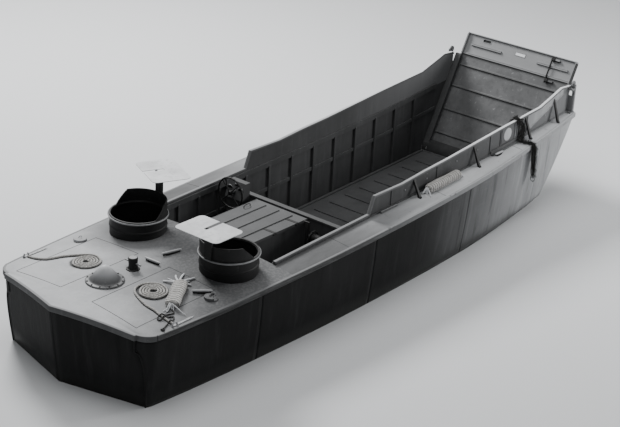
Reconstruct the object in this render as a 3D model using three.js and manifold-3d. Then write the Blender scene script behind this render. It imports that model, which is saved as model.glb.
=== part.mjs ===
// Military landing craft: plywood hull with an open troop well, a bow ramp, an engine box amidships and two
// gun tubs aft. Millimetres, X towards the bow, Y to port, Z up, origin at the waterline amidships.
import * as THREE from 'three';
import { mergeVertices } from 'three/addons/utils/BufferGeometryUtils.js';
import Module from 'manifold-3d';

const wasm = await Module();
wasm.setup();

// Driving dimensions
const GAP = 0.3;
const BEYOND = 8000;
const TOP = 3000;
const DEEP = -2000;

// Hull form at each station. The half beam and the sheer are those of the deck edge.
const STATION_COLUMNS = ['x', 'halfBeam', 'sheer', 'chineHalf', 'chineZ', 'bilgeZ', 'keelZ'];
const STATIONS = [
  [-5600, 1368, 1095, 1230, 10, -180, -90],
  [-5000, 1430, 1098, 1315, -5, -200, -110],
  [-4000, 1505, 1105, 1400, -30, -240, -190],
  [-3000, 1550, 1120, 1450, -50, -350, -360],
  [-1300, 1605, 1160, 1500, -60, -440, -600],
  [700, 1605, 1215, 1490, -30, -440, -660],
  [2200, 1565, 1270, 1440, 10, -370, -630],
  [3500, 1475, 1340, 1370, 90, -150, -350],
  [4500, 1405, 1425, 1310, 220, 150, 110],
  [5100, 1345, 1480, 1270, 480, 420, 400],
  [5600, 1295, 1530, 1230, 760, 680, 640],
].map((row) => Object.fromEntries(STATION_COLUMNS.map((name, i) => [name, row[i]])));
const BILGE_SHARE = 0.55;
const SIDE_BULGE = 18;
const CHINE_IN = 20;
const CROWN = 80;
const CROWN_SHARES = [1, 0.78, 0.45];
const DECK_THICK = 20;
const QUARTER_START = -4900;
const QUARTER_RADIUS = 200;
const QUARTER_STOPS = [-5100, -5090, -5070, -5040, -5000, -4950];
const HULL_STEP = 520;

// Where the planking is jointed, each stretch a solid of its own
const STERN_JOINT = -3560;

// Transom: a V in plan whose foot is further forward than its deck edge
const TRANSOM_APEX = -5439;
const TRANSOM_SWEEP = 0.25;
const TRANSOM_RAKE = 0.11;
const DECK_AFT_Z = 1100;

// Bow: the front edge of the sides, and the nose under the ramp's sill
const BOW_EDGE_X = 5250;
const BOW_EDGE_Z = 1480;
const BOW_EDGE_SLOPE = 0.66;
const NOSE_X = 4400;

// Troop well and cockpit
const WELL_HALF = 1200;
const WELL_AFT = -800;
const WELL_FLOOR_AFT = 120;
const WELL_FLOOR_FORE = 270;
const COCKPIT_AFT = -2450;
const SOLE_Z = 350;
const BAY = { x0: -2260, x1: -940, half: 430, floor: -250 };

// Coaming: its top edge from aft to fore
const COAMING_THICK = 25;
const COAMING_FORE = 5180;
const COAMING_TOP = [
  [-2450, 1215], [-340, 1275], [-230, 1540], [460, 1535], [1020, 1580], [1650, 1615], [2230, 1660],
  [3130, 1730], [4260, 1800], [4720, 1930], [4900, 1985], [5180, 1965],
];
const CAP = { out: 20, deep: 30 };
const BRACES = [770, 2360, 3850, 4690];
const BRACE = { half: 20, reach: 130, thick: 18, foot: 26, toe: 10, root: 60 };

// Guard rail round the deck edge
const RAIL = { thick: 35, deep: 82, proud: 4, transomEnd: -4950 };

// How far one piece of a joined solid is let into the next
const SUNK = 5;

// Ramp: hinge axis, lean from upright, panel in its own frame (X out, Z up the slope)
const RAMP = {
  x: 4520, z: 330, lean: 28, half: 1120, start: 60, top: 2190, thick: 34,
  flange: { deep: 60, thick: 12 }, head: { deep: 30, high: 14 }, rib: { deep: 26, half: 12 },
  slot: { y: 0, z: 2050, wide: 205, high: 56 }, recess: { z: 2112, wide: 160, high: 46, left: 6 },
};
const RAMP_RECESSES = [720, -730];
const RAMP_RIBS = [
  { y0: 370, y1: 1000, z: 1990 }, { y0: -1000, y1: -370, z: 1990 }, { y0: -1095, y1: 1095, z: 1808 },
  { y0: -1095, y1: 1095, z: 1600 }, { y0: -1095, y1: 1095, z: 1200 }, { y0: -1095, y1: 1095, z: 760 },
  { y0: -1095, y1: 1095, z: 320 },
];
const RAMP_ROD = {
  y: -652, low: 1690, high: 2165, radius: 11, out: 40, sides: 10,
  bracket: { fromLow: 48, fromHigh: 42, over: 4, back: 8, reach: 150, half: 14 },
};
const RAMP_KNUCKLES = [-800, 0, 800];
const KNUCKLE = { radius: 38, bore: 20.8, pin: 20, half: 100, lugHalf: 90, leaf: 30, pinOver: 15 };
const HEADLOG = { deep: 70, low: 90, top: 300, inset: 10, lugAft: 30, lugTop: 350, lugs: [-600, -200, 200, 600] };
const PIN_SIDES = 16;

// Bow posts: heights, and how far in from the deck edge their faces are
const BOW_POST = {
  fore: 5240, deep: 45, footDeep: 120, out: 14, in: 59, footOut: 8, footIn: 94,
  base: 1440, footTop: 1512, armLow: 1900, armTop: 1928, top: 1985,
};
const SHEAVE = {
  z: 1990, radius: 60, sides: 24, out: 54, in: 72, cheekOut: 44, cheekIn: 80, cheekLow: 1915, cheekTop: 2005,
};

// Floor boards of the well, their tread battens, and the bulkhead behind them
const FLOOR = { thick: 25, foreGap: 20, aftGap: 45, sideGap: 8 };
const BATTEN = { first: 260, last: 100, pitch: 400, wide: 60, high: 18, half: 950 };
const BULKHEAD = {
  half: 1199, low: 125, top: 1130, thick: 40,
  stud: { deep: 70, half: 22, lift: 75 }, cap: { aft: 12, fore: 78, under: 20 },
};
const BULKHEAD_STUDS = [-1000, -500, 0, 500, 1000];

// Gun tubs and what turns in them
const TUB = {
  x: -3000, y: 880, radius: 410, wall: 15, floor: 400, bottom: 20,
  rim: 1450, rimHigh: 25, ringOut: 428, ringIn: 388,
};
const CARRIAGE = {
  post: 415, axisZ: 1885, ring: { inset: 4, thick: 15 },
  fence: { in: 396, out: 411, top: 1645, lowFrom: -60, topFrom: 140 },
  plate: { sunk: 8, deep: 20, half: 65, under: 45 }, neck: { back: 10, half: 45, high: 50 },
  pivot: { barrel: 18, pin: 9, half: 72 },
};
const SHIELD = {
  deep: 580, wide: 800, corner: 80, thick: 8, outward: 45,
  slot: { wide: 44, deep: 335 }, ear: { at: 60, thick: 12, radius: 20 },
};
const MOUNTS = [
  { side: 'port', sign: 1, facing: 0, lift: 95, turn: -25, aside: -35 },
  { side: 'starboard', sign: -1, facing: 180, lift: 35, turn: 0, aside: 35 },
];

// Drive and steering under the hull
const SHAFT = { x: -4330, z: -530, tilt: 8 };
const PROP = { shaft: 22, blades: 3 };
const PROP_HUB = [[0, -135], [30, -120], [55, -65], [55, 75], [PROP.shaft, 75], [PROP.shaft, 480], [0, 480]];
const PROP_BLADE = [
  { radius: 40, chord: 120, pitch: 62, thick: 13 }, { radius: 110, chord: 190, pitch: 48, thick: 7 },
  { radius: 190, chord: 220, pitch: 36, thick: 7 }, { radius: 255, chord: 150, pitch: 30, thick: 7 },
  { radius: 280, chord: 40, pitch: 28, thick: 7 },
];
const RUDDER = {
  x: -4860, top: -250, bottom: -830, stock: 26, stockTop: 50, pintle: 20, pintleUp: 15, sunk: 20,
  plan: [[90, 0], [50, 18], [-60, 22], [-300, 0]],
};
const SKEG = {
  half: 32, heelZ: -900, aft: -4180, shoeAft: -4960, shoeTop: -858,
  bearing: { radius: 62, out: 40, in: 420, bore: 380 },
};
const KEEL_LINE = [[3700, -200], [3300, -520], [2200, -700], [700, -745], [-1300, -790]];

// Engine, its box and lid
const ENGINE = { x0: -2150, x1: -1050, half: 330, top: 850 };
const BOX = { x0: -2310, x1: -890, half: 480, wall: 25, top: 1100 };
const LID = { over: 20, thick: 34, end: 60, battenHalf: 25, batten: 16 };
const LID_BATTENS = [-260, 0, 260];

// Steering stand with its sloping head, as distances back from the bulkhead and heights, and the wheel
const CONSOLE = {
  standDeep: 190, standHalf: 150, standTop: 1109, headHalf: 165, boss: { radius: 26, sunk: 100 },
  head: [[220, 1080], [190, 1060], [20, 1060], [20, 1330], [120, 1330]],
};
const WHEEL = {
  x: -1080, y: 850, z: 1190, radius: 240, rim: 14, spokes: 4, spoke: 10, bossGap: 30, hub: { radius: 36, aft: 25 },
};

// Ramp winch
const WINCH = {
  x: -1075, y: -900, z: 980, drum: 70, half: 100, sideAt: 140, axle: 20, axleEnd: 8,
  foot: { deep: 130, over: 15, thick: 20 }, plate: { low: 120, high: 45, over: 50, thick: 20 },
  flange: { radius: 115, thick: 12 }, arm: { out: 60, half: 18, thick: 14, tail: 25, long: 215 },
  handle: { long: 95, radius: 14 },
};

// Fittings of the deck; their profiles are radius and height above the deck
const VENT = { x: -4463, y: 20, flange: 267, sunk: 40 };
const VENT_PROFILE = [
  [267, 20], [222, 24], [207, 32], [200, 56], [180, 102], [142, 152], [95, 196], [46, 222], [0, 230],
];
const BITT = { x: -3955, y: 8, sunk: 20, pin: { half: 150, z: 98, radius: 12 } };
const BITT_PROFILE = [[96, 14], [70, 16], [62, 90], [67, 150], [67, 178], [0, 178]];
const CLEAT = {
  low: 40, under: 52, top: 66, tip: 30, hornHalf: 14, footShare: 0.55, legShare: 0.4,
  leg: { deep: 16, half: 12 }, foot: { half: 22, sunk: 20, thick: 10 },
};
const CLEATS = [
  { name: 'aft_centre', x: -3640, y: -50, heading: 93, long: 290 },
  { name: 'fore_centre', x: -3260, y: -40, heading: -14, long: 330 },
  { name: 'quarter_starboard', x: -3765, y: -1100, heading: -45, long: 290 },
  { name: 'bow_starboard', x: 2970, y: -1318, heading: 0, long: 225 },
  { name: 'bow_port', x: 2970, y: 1318, heading: 0, long: 225 },
];
const CHOCK = {
  x: -4470, y: 1428, halfLong: 212, halfWide: 16, point: 60, sunk: 25, thick: 12,
  horn: { at: [-190, -105], deep: 12, half: 13, high: 52 },
};
const PAD = {
  x: -3765, y: 1265, radius: 95, sunk: 25, high: 34, crown: 40, hollow: { fore: 40, out: 45, floor: 12, radius: 85 },
};

// Ropes and fenders. A lead runs from its coil's rim to the chock; the chafing rope is given in full
const LINE_RADIUS = 12;
const LINE_CLEAR = 1.5;
const COIL = { out: 218, in: 45, sunk: 6 };
const COILS = [
  { name: 'port', x: -4251, y: 623 },
  { name: 'starboard', x: -4231, y: -645 },
];
const LEADS = {
  port: [
    [-4088.1, 785.9], [-4160, 858], [-4245, 932], [-4340, 1004], [-4440, 1052], [-4530, 1105], [-4585, 1190],
    [-4612, 1290], [-4618, 1399.6],
  ],
  starboard: [
    [-4231, -415.4], [-4316, -424], [-4396, -472], [-4452, -548], [-4492, -640], [-4530, -740], [-4562, -860],
    [-4566, -990], [-4590, -1130], [-4612, -1270], [-4618, -1399.6],
  ],
};
const FENDER = { settle: 4, taper: 0.7, neck: 0.6 };
const FENDERS = [
  { name: 'aft', from: [-3838, -782], to: [-4338, -1105], radius: 100, flat: 0.6 },
  { name: 'side', from: [990, -1345], to: [1790, -1345], radius: 92, flat: 0.85 },
];
const CHAFE_RADIUS = 15;
const CHAFE_ROUTE = [
  [3556, -1162, 1540], [3557, -1162, 1640], [3558, -1162.5, 1718], [3562, -1179.5, 1762.5], [3566, -1222.5, 1780.4],
  [3570, -1266, 1762.5], [3575, -1282.5, 1718], [3586, -1284, 1630], [3600, -1284, 1530], [3612, -1285, 1445],
  [3622, -1303, 1402], [3638, -1346, 1386], [3662, -1405, 1385], [3686, -1466, 1390], [3700, -1510.5, 1373],
  [3706, -1529, 1328], [3716, -1530, 1220], [3731, -1530, 1080], [3745, -1530, 940], [3758, -1530, 800],
];
const EYE = { ring: 38, thick: 10, neck: 22, socket: { over: 2, below: 2 } };

// Colours, roughness and metalness
const PAINT = new THREE.MeshStandardMaterial({ color: 0x6d7173, roughness: 0.7, metalness: 0 });
const DECK_PAINT = new THREE.MeshStandardMaterial({ color: 0xa9adae, roughness: 0.8, metalness: 0 });
const DARK_PAINT = new THREE.MeshStandardMaterial({ color: 0x2c2e30, roughness: 0.65, metalness: 0 });
const STEEL = new THREE.MeshStandardMaterial({ color: 0x55585a, roughness: 0.5, metalness: 0.8 });
const BRONZE = new THREE.MeshStandardMaterial({ color: 0x9a7a45, roughness: 0.4, metalness: 0.9 });
const ROPE = new THREE.MeshStandardMaterial({ color: 0xb3a888, roughness: 0.95, metalness: 0 });
const DARK_ROPE = new THREE.MeshStandardMaterial({ color: 0x4a4438, roughness: 0.95, metalness: 0 });

const boat = new THREE.Group();

// Smooth value of one column of the hull stations at any x: cubic pieces with slopes shared at the stations.
function station(column, x) {
  let i = 0;
  while (i < STATIONS.length - 2 && x > STATIONS[i + 1].x) i += 1;
  const slope = (k) => {
    const a = STATIONS[Math.max(k - 1, 0)];
    const b = STATIONS[Math.min(k + 1, STATIONS.length - 1)];
    return (b[column] - a[column]) / (b.x - a.x);
  };
  const [p, q] = [STATIONS[i], STATIONS[i + 1]];
  const span = q.x - p.x;
  const t = (x - p.x) / span;
  const rise = (3 - 2 * t) * t * t;
  return p[column] * (1 - rise) + q[column] * rise
    + span * t * (1 - t) * ((1 - t) * slope(i) - t * slope(i + 1));
}

// How far the rounded quarter draws the side in, aft of where its arc starts.
function quarterInset(x) {
  const past = Math.min(Math.max(QUARTER_START - x, 0), QUARTER_RADIUS);
  return QUARTER_RADIUS - Math.sqrt(QUARTER_RADIUS ** 2 - past ** 2);
}

const deckHalf = (x) => station('halfBeam', x) - quarterInset(x);
const deckTop = (x, y) => station('sheer', x) + CROWN * (1 - Math.min(1, Math.abs(y) / deckHalf(x)) ** 2);

// Turn a closed geometry into a solid, with its faces outwards.
function solid(geometry) {
  const bare = geometry.clone();
  for (const name of Object.keys(bare.attributes)) {
    if (name !== 'position') bare.deleteAttribute(name);
  }
  const merged = mergeVertices(bare, 1e-3);
  const at = merged.attributes.position.array;
  const index = Uint32Array.from(merged.index.array);
  let volume = 0;
  const corner = (k) => new THREE.Vector3().fromArray(at, 3 * index[k]);
  for (let k = 0; k < index.length; k += 3) {
    volume += corner(k).dot(corner(k + 1).cross(corner(k + 2)));
  }
  if (volume < 0) index.reverse();
  const mesh = new wasm.Mesh({ numProp: 3, vertProperties: Float32Array.from(at), triVerts: index });
  return new wasm.Manifold(mesh);
}

// Solid through a row of closed rings of points, its two ends closed flat.
function loft(rings) {
  const size = rings[0].length;
  const points = rings.flat();
  const faces = [];
  for (let r = 0; r < rings.length - 1; r += 1) {
    for (let k = 0; k < size; k += 1) {
      const a = r * size + k;
      const b = r * size + ((k + 1) % size);
      faces.push(a, b, b + size, a, b + size, a + size);
    }
  }
  const box = new THREE.Box3().setFromPoints(rings[0].map((p) => new THREE.Vector3(...p)));
  const extent = box.getSize(new THREE.Vector3()).toArray();
  const thin = extent.indexOf(Math.min(...extent));
  const axes = [0, 1, 2].filter((k) => k !== thin);
  const flat = (ring) => ring.map((p) => new THREE.Vector2(p[axes[0]], p[axes[1]]));
  const last = (rings.length - 1) * size;
  for (const [a, b, c] of THREE.ShapeUtils.triangulateShape(flat(rings[0]), [])) {
    faces.push(...orient(rings[0], [a, b, c], false));
  }
  for (const [a, b, c] of THREE.ShapeUtils.triangulateShape(flat(rings.at(-1)), [])) {
    faces.push(...orient(rings.at(-1), [a, b, c], true).map((k) => k + last));
  }
  const geometry = new THREE.BufferGeometry();
  geometry.setAttribute('position', new THREE.Float32BufferAttribute(points.flat(), 3));
  geometry.setIndex(faces);
  return solid(geometry);
}

// One cap triangle, wound so that it runs with its ring (the far cap) or against it (the near cap).
function orient(ring, triangle, alongRing) {
  const area = (list) => {
    const sum = new THREE.Vector3();
    for (let k = 0; k < list.length; k += 1) {
      const a = new THREE.Vector3(...list[k]);
      sum.add(a.cross(new THREE.Vector3(...list[(k + 1) % list.length])));
    }
    return sum;
  };
  const same = area(triangle.map((k) => ring[k])).dot(area(ring)) > 0;
  return same === alongRing ? triangle : [triangle[0], triangle[2], triangle[1]];
}

// Prisms of an outline: along Y from (x, z) points, and along Z from (x, y) points.
const prismY = (outline, y0, y1) => loft([y0, y1].map((y) => outline.map(([x, z]) => [x, y, z])));
const prismX = (outline, x0, x1) => loft([x0, x1].map((x) => outline.map(([y, z]) => [x, y, z])));
const prismZ = (outline, z0, z1) => loft([z0, z1].map((z) => outline.map(([x, y]) => [x, y, z])));

function block(x0, x1, y0, y1, z0, z1) {
  const shape = new THREE.BoxGeometry(x1 - x0, y1 - y0, z1 - z0);
  shape.translate((x0 + x1) / 2, (y0 + y1) / 2, (z0 + z1) / 2);
  return solid(shape);
}

// Round bar between two points.
function bar(from, to, radius, sides = 16) {
  const a = new THREE.Vector3(...from);
  const b = new THREE.Vector3(...to);
  const shape = new THREE.CylinderGeometry(radius, radius, a.distanceTo(b), sides);
  const turn = new THREE.Quaternion().setFromUnitVectors(new THREE.Vector3(0, 1, 0), b.clone().sub(a).normalize());
  shape.applyQuaternion(turn);
  const middle = a.add(b).multiplyScalar(0.5);
  shape.translate(middle.x, middle.y, middle.z);
  return solid(shape);
}

// Solid of revolution about the upright axis through (x, y), from [radius, z] points that close.
function turned(profile, x, y, sides = 32) {
  const outline = profile.map(([radius, z]) => new THREE.Vector2(radius, z));
  const shape = new THREE.LatheGeometry(outline, sides);
  shape.rotateX(Math.PI / 2);
  shape.translate(x, y, 0);
  return solid(shape);
}

// Closed ring profile of a tube between two radii and two heights.
const ringProfile = (inner, outer, low, high) => [
  [inner, low], [outer, low], [outer, high], [inner, high], [inner, low],
];

// Tube of a limp line along a smooth curve through its points.
function line(points, radius, steps, sides = 8) {
  const curve = new THREE.CatmullRomCurve3(points.map((p) => new THREE.Vector3(...p)), false, 'centripetal');
  const section = new THREE.Shape();
  for (let k = 0; k < sides; k += 1) {
    const turn = (2 * Math.PI * k) / sides;
    const at = [radius * Math.cos(turn), radius * Math.sin(turn)];
    if (k === 0) section.moveTo(...at);
    else section.lineTo(...at);
  }
  return solid(new THREE.ExtrudeGeometry(section, { steps, extrudePath: curve, bevelEnabled: false }));
}

const join = (first, ...rest) => rest.reduce((sum, piece) => sum.add(piece), first);

// Put a finished solid into the boat as a named mesh.
function place(name, shape, material, parent = boat) {
  const { vertProperties, triVerts } = shape.getMesh();
  const geometry = new THREE.BufferGeometry();
  geometry.setAttribute('position', new THREE.Float32BufferAttribute(vertProperties, 3));
  geometry.setIndex(Array.from(triVerts));
  geometry.computeVertexNormals();
  const mesh = new THREE.Mesh(geometry, material);
  mesh.name = name;
  parent.add(mesh);
  return mesh;
}

// The stations at which the hull's sections are cut: closer together round the quarters.
function hullStops() {
  const stops = [STATIONS[0].x, ...QUARTER_STOPS];
  const last = STATIONS.at(-1).x;
  for (let x = QUARTER_START; x < last; x += HULL_STEP) stops.push(x);
  return [...stops, last];
}

// Crown points across the deck at x, from the port edge to the starboard edge.
function crownLine(x, lift) {
  const half = deckHalf(x);
  const shares = [...CROWN_SHARES, 0, ...CROWN_SHARES.toReversed().map((share) => -share)];
  return shares.map((share) => [x, share * half, deckTop(x, share * half) + lift]);
}

// Hull outside from keel to deck, its top moved up by lift and its sides out by grow.
function hullForm(lift, grow = 0) {
  return loft(hullStops().map((x) => {
    const half = deckHalf(x);
    const chine = Math.min(station('chineHalf', x) - quarterInset(x), half - CHINE_IN);
    const chineZ = station('chineZ', x);
    const sideY = (chine + half) / 2 + SIDE_BULGE;
    const sideZ = (chineZ + station('sheer', x)) / 2;
    const low = [[sideY + grow, sideZ], [chine + grow, chineZ], [BILGE_SHARE * chine, station('bilgeZ', x)]];
    const starboard = low.map(([y, z]) => [x, -y, z]);
    const port = low.toReversed().map(([y, z]) => [x, y, z]);
    const top = crownLine(x, lift);
    top[0][1] += grow;
    top.at(-1)[1] -= grow;
    return [...top, ...starboard, [x, 0, station('keelZ', x)], ...port];
  }));
}

// Everything below the deck's upper face moved up by lift, with level wings past the deck edges.
function belowDeck(lift) {
  const wing = 300;
  return loft(hullStops().map((x) => {
    const outer = deckHalf(x) + wing;
    const level = station('sheer', x) + lift;
    return [[x, outer, level], ...crownLine(x, lift), [x, -outer, level], [x, -outer, DEEP], [x, outer, DEEP]];
  }));
}

// Everything between the upright planes through the deck edges, moved out by grow.
function hullSides(grow) {
  return loft(hullStops().map((x) => {
    const half = deckHalf(x) + grow;
    return [[x, half, TOP], [x, -half, TOP], [x, -half, SOLE_Z], [x, half, SOLE_Z]];
  }));
}

// Everything forward of the V transom, moved aft by shift, and of its raked foot.
function aheadOfTransom(shift) {
  const ring = (z) => {
    const apex = TRANSOM_APEX - shift + TRANSOM_RAKE * (DECK_AFT_Z - z);
    const wing = apex + TRANSOM_SWEEP * BEYOND;
    return [[apex, 0, z], [wing, -BEYOND, z], [BEYOND, -BEYOND, z], [BEYOND, BEYOND, z], [wing, BEYOND, z]];
  };
  return loft([ring(DEEP), ring(TOP)]);
}

// Everything aft of the raked front edge of the sides.
function behindBow() {
  const edge = (z) => BOW_EDGE_X + BOW_EDGE_SLOPE * (z - BOW_EDGE_Z);
  return prismY([[-BEYOND, DEEP], [edge(DEEP), DEEP], [edge(TOP), TOP], [-BEYOND, TOP]], -BEYOND, BEYOND);
}

const seat = belowDeck(GAP);
const onDeck = (shape) => shape.subtract(seat);
const insideEnds = (shape) => shape.intersect(aheadOfTransom(0)).intersect(behindBow());

const floorAt = (x) => WELL_FLOOR_AFT
  + ((WELL_FLOOR_FORE - WELL_FLOOR_AFT) * (x - WELL_AFT)) / (NOSE_X - WELL_AFT);

function wellCut() {
  const outline = [
    [WELL_AFT, WELL_FLOOR_AFT], [NOSE_X, WELL_FLOOR_FORE], [NOSE_X, DEEP], [BEYOND, DEEP], [BEYOND, TOP],
    [COCKPIT_AFT, TOP], [COCKPIT_AFT, SOLE_Z], [WELL_AFT, SOLE_Z],
  ];
  return prismY(outline, -WELL_HALF, WELL_HALF);
}

function tubCuts() {
  return [TUB.y, -TUB.y].map((y) => bar([TUB.x, y, TUB.floor - GAP], [TUB.x, y, TOP], TUB.radius + GAP, 32));
}

// The hull without its well, cockpit, engine bay, tubs and rudder bore.
function hullSolid() {
  let shape = insideEnds(hullForm(-DECK_THICK - GAP));
  shape = shape.subtract(wellCut());
  shape = shape.subtract(block(BAY.x0, BAY.x1, -BAY.half, BAY.half, BAY.floor, SOLE_Z + SUNK));
  for (const cut of tubCuts()) shape = shape.subtract(cut);
  return shape.subtract(bar([RUDDER.x, 0, 2 * RUDDER.top], [RUDDER.x, 0, RUDDER.stockTop + SUNK], RUDDER.stock + 1));
}

// The hull in the stretches that its planking is jointed in: stern, tub bay, bottom and two sides.
function hull() {
  const whole = hullSolid();
  const fore = COCKPIT_AFT + GAP;
  const [under, side] = [WELL_HALF - GAP, WELL_HALF + GAP];
  const stretches = [
    ['hull_stern', [-BEYOND, STERN_JOINT], [-BEYOND, BEYOND]],
    ['hull_tub_bay', [STERN_JOINT + GAP, COCKPIT_AFT], [-BEYOND, BEYOND]],
    ['hull_bottom', [fore, BEYOND], [-under, under]],
    ['hull_side_port', [fore, BEYOND], [side, BEYOND]],
    ['hull_side_starboard', [fore, BEYOND], [-BEYOND, -side]],
  ];
  for (const [name, x, y] of stretches) place(name, whole.intersect(block(...x, ...y, DEEP, TOP)), PAINT);
}

function decks() {
  const slab = loft(hullStops().map((x) => {
    const low = station('sheer', x) - 2 * DECK_THICK;
    return [...crownLine(x, 0), [x, -deckHalf(x), low], [x, deckHalf(x), low]];
  }));
  let whole = insideEnds(slab.subtract(belowDeck(-DECK_THICK)));
  for (const cut of tubCuts()) whole = whole.subtract(cut);
  const side = WELL_HALF + COAMING_THICK + GAP;
  place('aft_deck', whole.intersect(block(-BEYOND, COCKPIT_AFT, -BEYOND, BEYOND, -BEYOND, BEYOND)), DECK_PAINT);
  const split = COCKPIT_AFT + GAP;
  place('side_deck_port', whole.intersect(block(split, BEYOND, side, BEYOND, -BEYOND, BEYOND)), DECK_PAINT);
  place('side_deck_starboard', whole.intersect(block(split, BEYOND, -BEYOND, -side, -BEYOND, BEYOND)), DECK_PAINT);
}

// Bar round the deck edge, under the deck's own crown: what a wider body has and the hull hasn't.
function railSolid() {
  const band = belowDeck(RAIL.proud).subtract(belowDeck(-RAIL.deep)).intersect(hullSides(RAIL.thick));
  const outer = band.intersect(aheadOfTransom(RAIL.thick)).intersect(behindBow());
  const deckBand = belowDeck(2 * RAIL.deep).subtract(belowDeck(-DECK_THICK - GAP)).intersect(hullSides(GAP));
  const inner = hullForm(-DECK_THICK - GAP, GAP).add(deckBand);
  return outer.subtract(inner.intersect(aheadOfTransom(GAP)));
}

function rubRails() {
  const whole = railSolid();
  const split = RAIL.transomEnd;
  const cuts = [
    ['rub_rail_transom', block(-BEYOND, split - GAP, -BEYOND, BEYOND, -BEYOND, BEYOND)],
    ['rub_rail_port', block(split, BEYOND, 0, BEYOND, -BEYOND, BEYOND)],
    ['rub_rail_starboard', block(split, BEYOND, -BEYOND, 0, -BEYOND, BEYOND)],
  ];
  for (const [name, cut] of cuts) place(name, whole.intersect(cut), PAINT);
}

// Height of the coaming's top edge at x.
function coamingTop(x) {
  const k = COAMING_TOP.findIndex(([next]) => next > x);
  const [[x0, z0], [x1, z1]] = [COAMING_TOP[k - 1], COAMING_TOP[k]];
  return z0 + ((z1 - z0) * (x - x0)) / (x1 - x0);
}

// Coaming wall with its cap and the straps that brace it, port side for sign 1 and starboard for -1.
function coaming(sign) {
  const sorted = (a, b) => (sign > 0 ? [a, b] : [-b, -a]);
  const [[aft]] = COAMING_TOP;
  const wall = prismY([[aft, SOLE_Z], [COAMING_FORE, SOLE_Z], ...COAMING_TOP.toReversed()],
    ...sorted(WELL_HALF, WELL_HALF + COAMING_THICK));
  const under = COAMING_TOP.toReversed().map(([x, z]) => [x, z - CAP.deep]);
  const cap = prismY([...COAMING_TOP, ...under], ...sorted(WELL_HALF, WELL_HALF + COAMING_THICK + CAP.out));
  let shape = wall.add(cap).subtract(belowDeck(-DECK_THICK));
  const { reach, thick, foot, toe, root } = BRACE;
  for (const x of BRACES) {
    const face = WELL_HALF + COAMING_THICK;
    const deck = deckTop(x, face);
    const high = coamingTop(x) - CAP.deep - deck;
    const outline = [[-SUNK, high - root], [reach - thick, 1 - thick], [reach + foot, 1 - thick], [reach + foot, toe],
      [reach + toe, toe], [-SUNK, high]].map(([out, up]) => [sign * (face + out), deck + up]);
    shape = shape.add(onDeck(prismX(outline, x - BRACE.half, x + BRACE.half)));
  }
  return shape;
}

function coamings() {
  place('coaming_port', coaming(1), PAINT);
  place('coaming_starboard', coaming(-1), PAINT);
}

// Posts at the forward end of the side decks, tied back to the coaming by an arm with a sheave.
function bowPost(sign) {
  const edge = deckHalf(BOW_POST.fore);
  const inner = WELL_HALF + COAMING_THICK + GAP;
  const aft = BOW_POST.fore - BOW_POST.deep;
  const footAft = BOW_POST.fore - BOW_POST.footDeep;
  const sided = (x0, y0, y1, z0, z1) => block(x0, BOW_POST.fore, Math.min(sign * y0, sign * y1),
    Math.max(sign * y0, sign * y1), z0, z1);
  const post = sided(aft, edge - BOW_POST.in, edge - BOW_POST.out, BOW_POST.base, BOW_POST.top);
  const foot = sided(footAft, edge - BOW_POST.footIn, edge - BOW_POST.footOut, BOW_POST.base, BOW_POST.footTop);
  const arm = sided(footAft, inner, edge - BOW_POST.out, BOW_POST.armLow, BOW_POST.armTop);
  const at = (y) => [BOW_POST.fore - BOW_POST.deep / 2, sign * (edge - y), SHEAVE.z];
  const sheave = bar(at(SHEAVE.in), at(SHEAVE.out), SHEAVE.radius, SHEAVE.sides);
  const cheek = sided(aft, edge - SHEAVE.cheekIn, edge - SHEAVE.cheekOut, SHEAVE.cheekLow, SHEAVE.cheekTop);
  return onDeck(join(post, foot, arm, sheave, cheek));
}

function bowPosts() {
  place('bow_post_port', bowPost(1), STEEL);
  place('bow_post_starboard', bowPost(-1), STEEL);
}

// Sill beam at the foot of the ramp, with the hinge pin and the lugs that carry it.
function headlog() {
  const half = WELL_HALF - HEADLOG.inset;
  const { x, z } = RAMP;
  const across = (y, reach, radius) => bar([x, y - reach, z], [x, y + reach, z], radius, PIN_SIDES);
  let shape = block(NOSE_X + GAP, NOSE_X + HEADLOG.deep, -half, half, HEADLOG.low, HEADLOG.top);
  for (const y of HEADLOG.lugs) {
    shape = shape.add(block(NOSE_X + HEADLOG.lugAft, x, y - KNUCKLE.lugHalf, y + KNUCKLE.lugHalf,
      HEADLOG.top - SUNK, HEADLOG.lugTop));
    shape = shape.add(across(y, KNUCKLE.lugHalf, KNUCKLE.radius));
  }
  const pinHalf = RAMP_KNUCKLES.at(-1) + KNUCKLE.half + KNUCKLE.pinOver;
  place('headlog', shape.add(across(0, pinHalf, KNUCKLE.pin)), STEEL);
}

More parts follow.
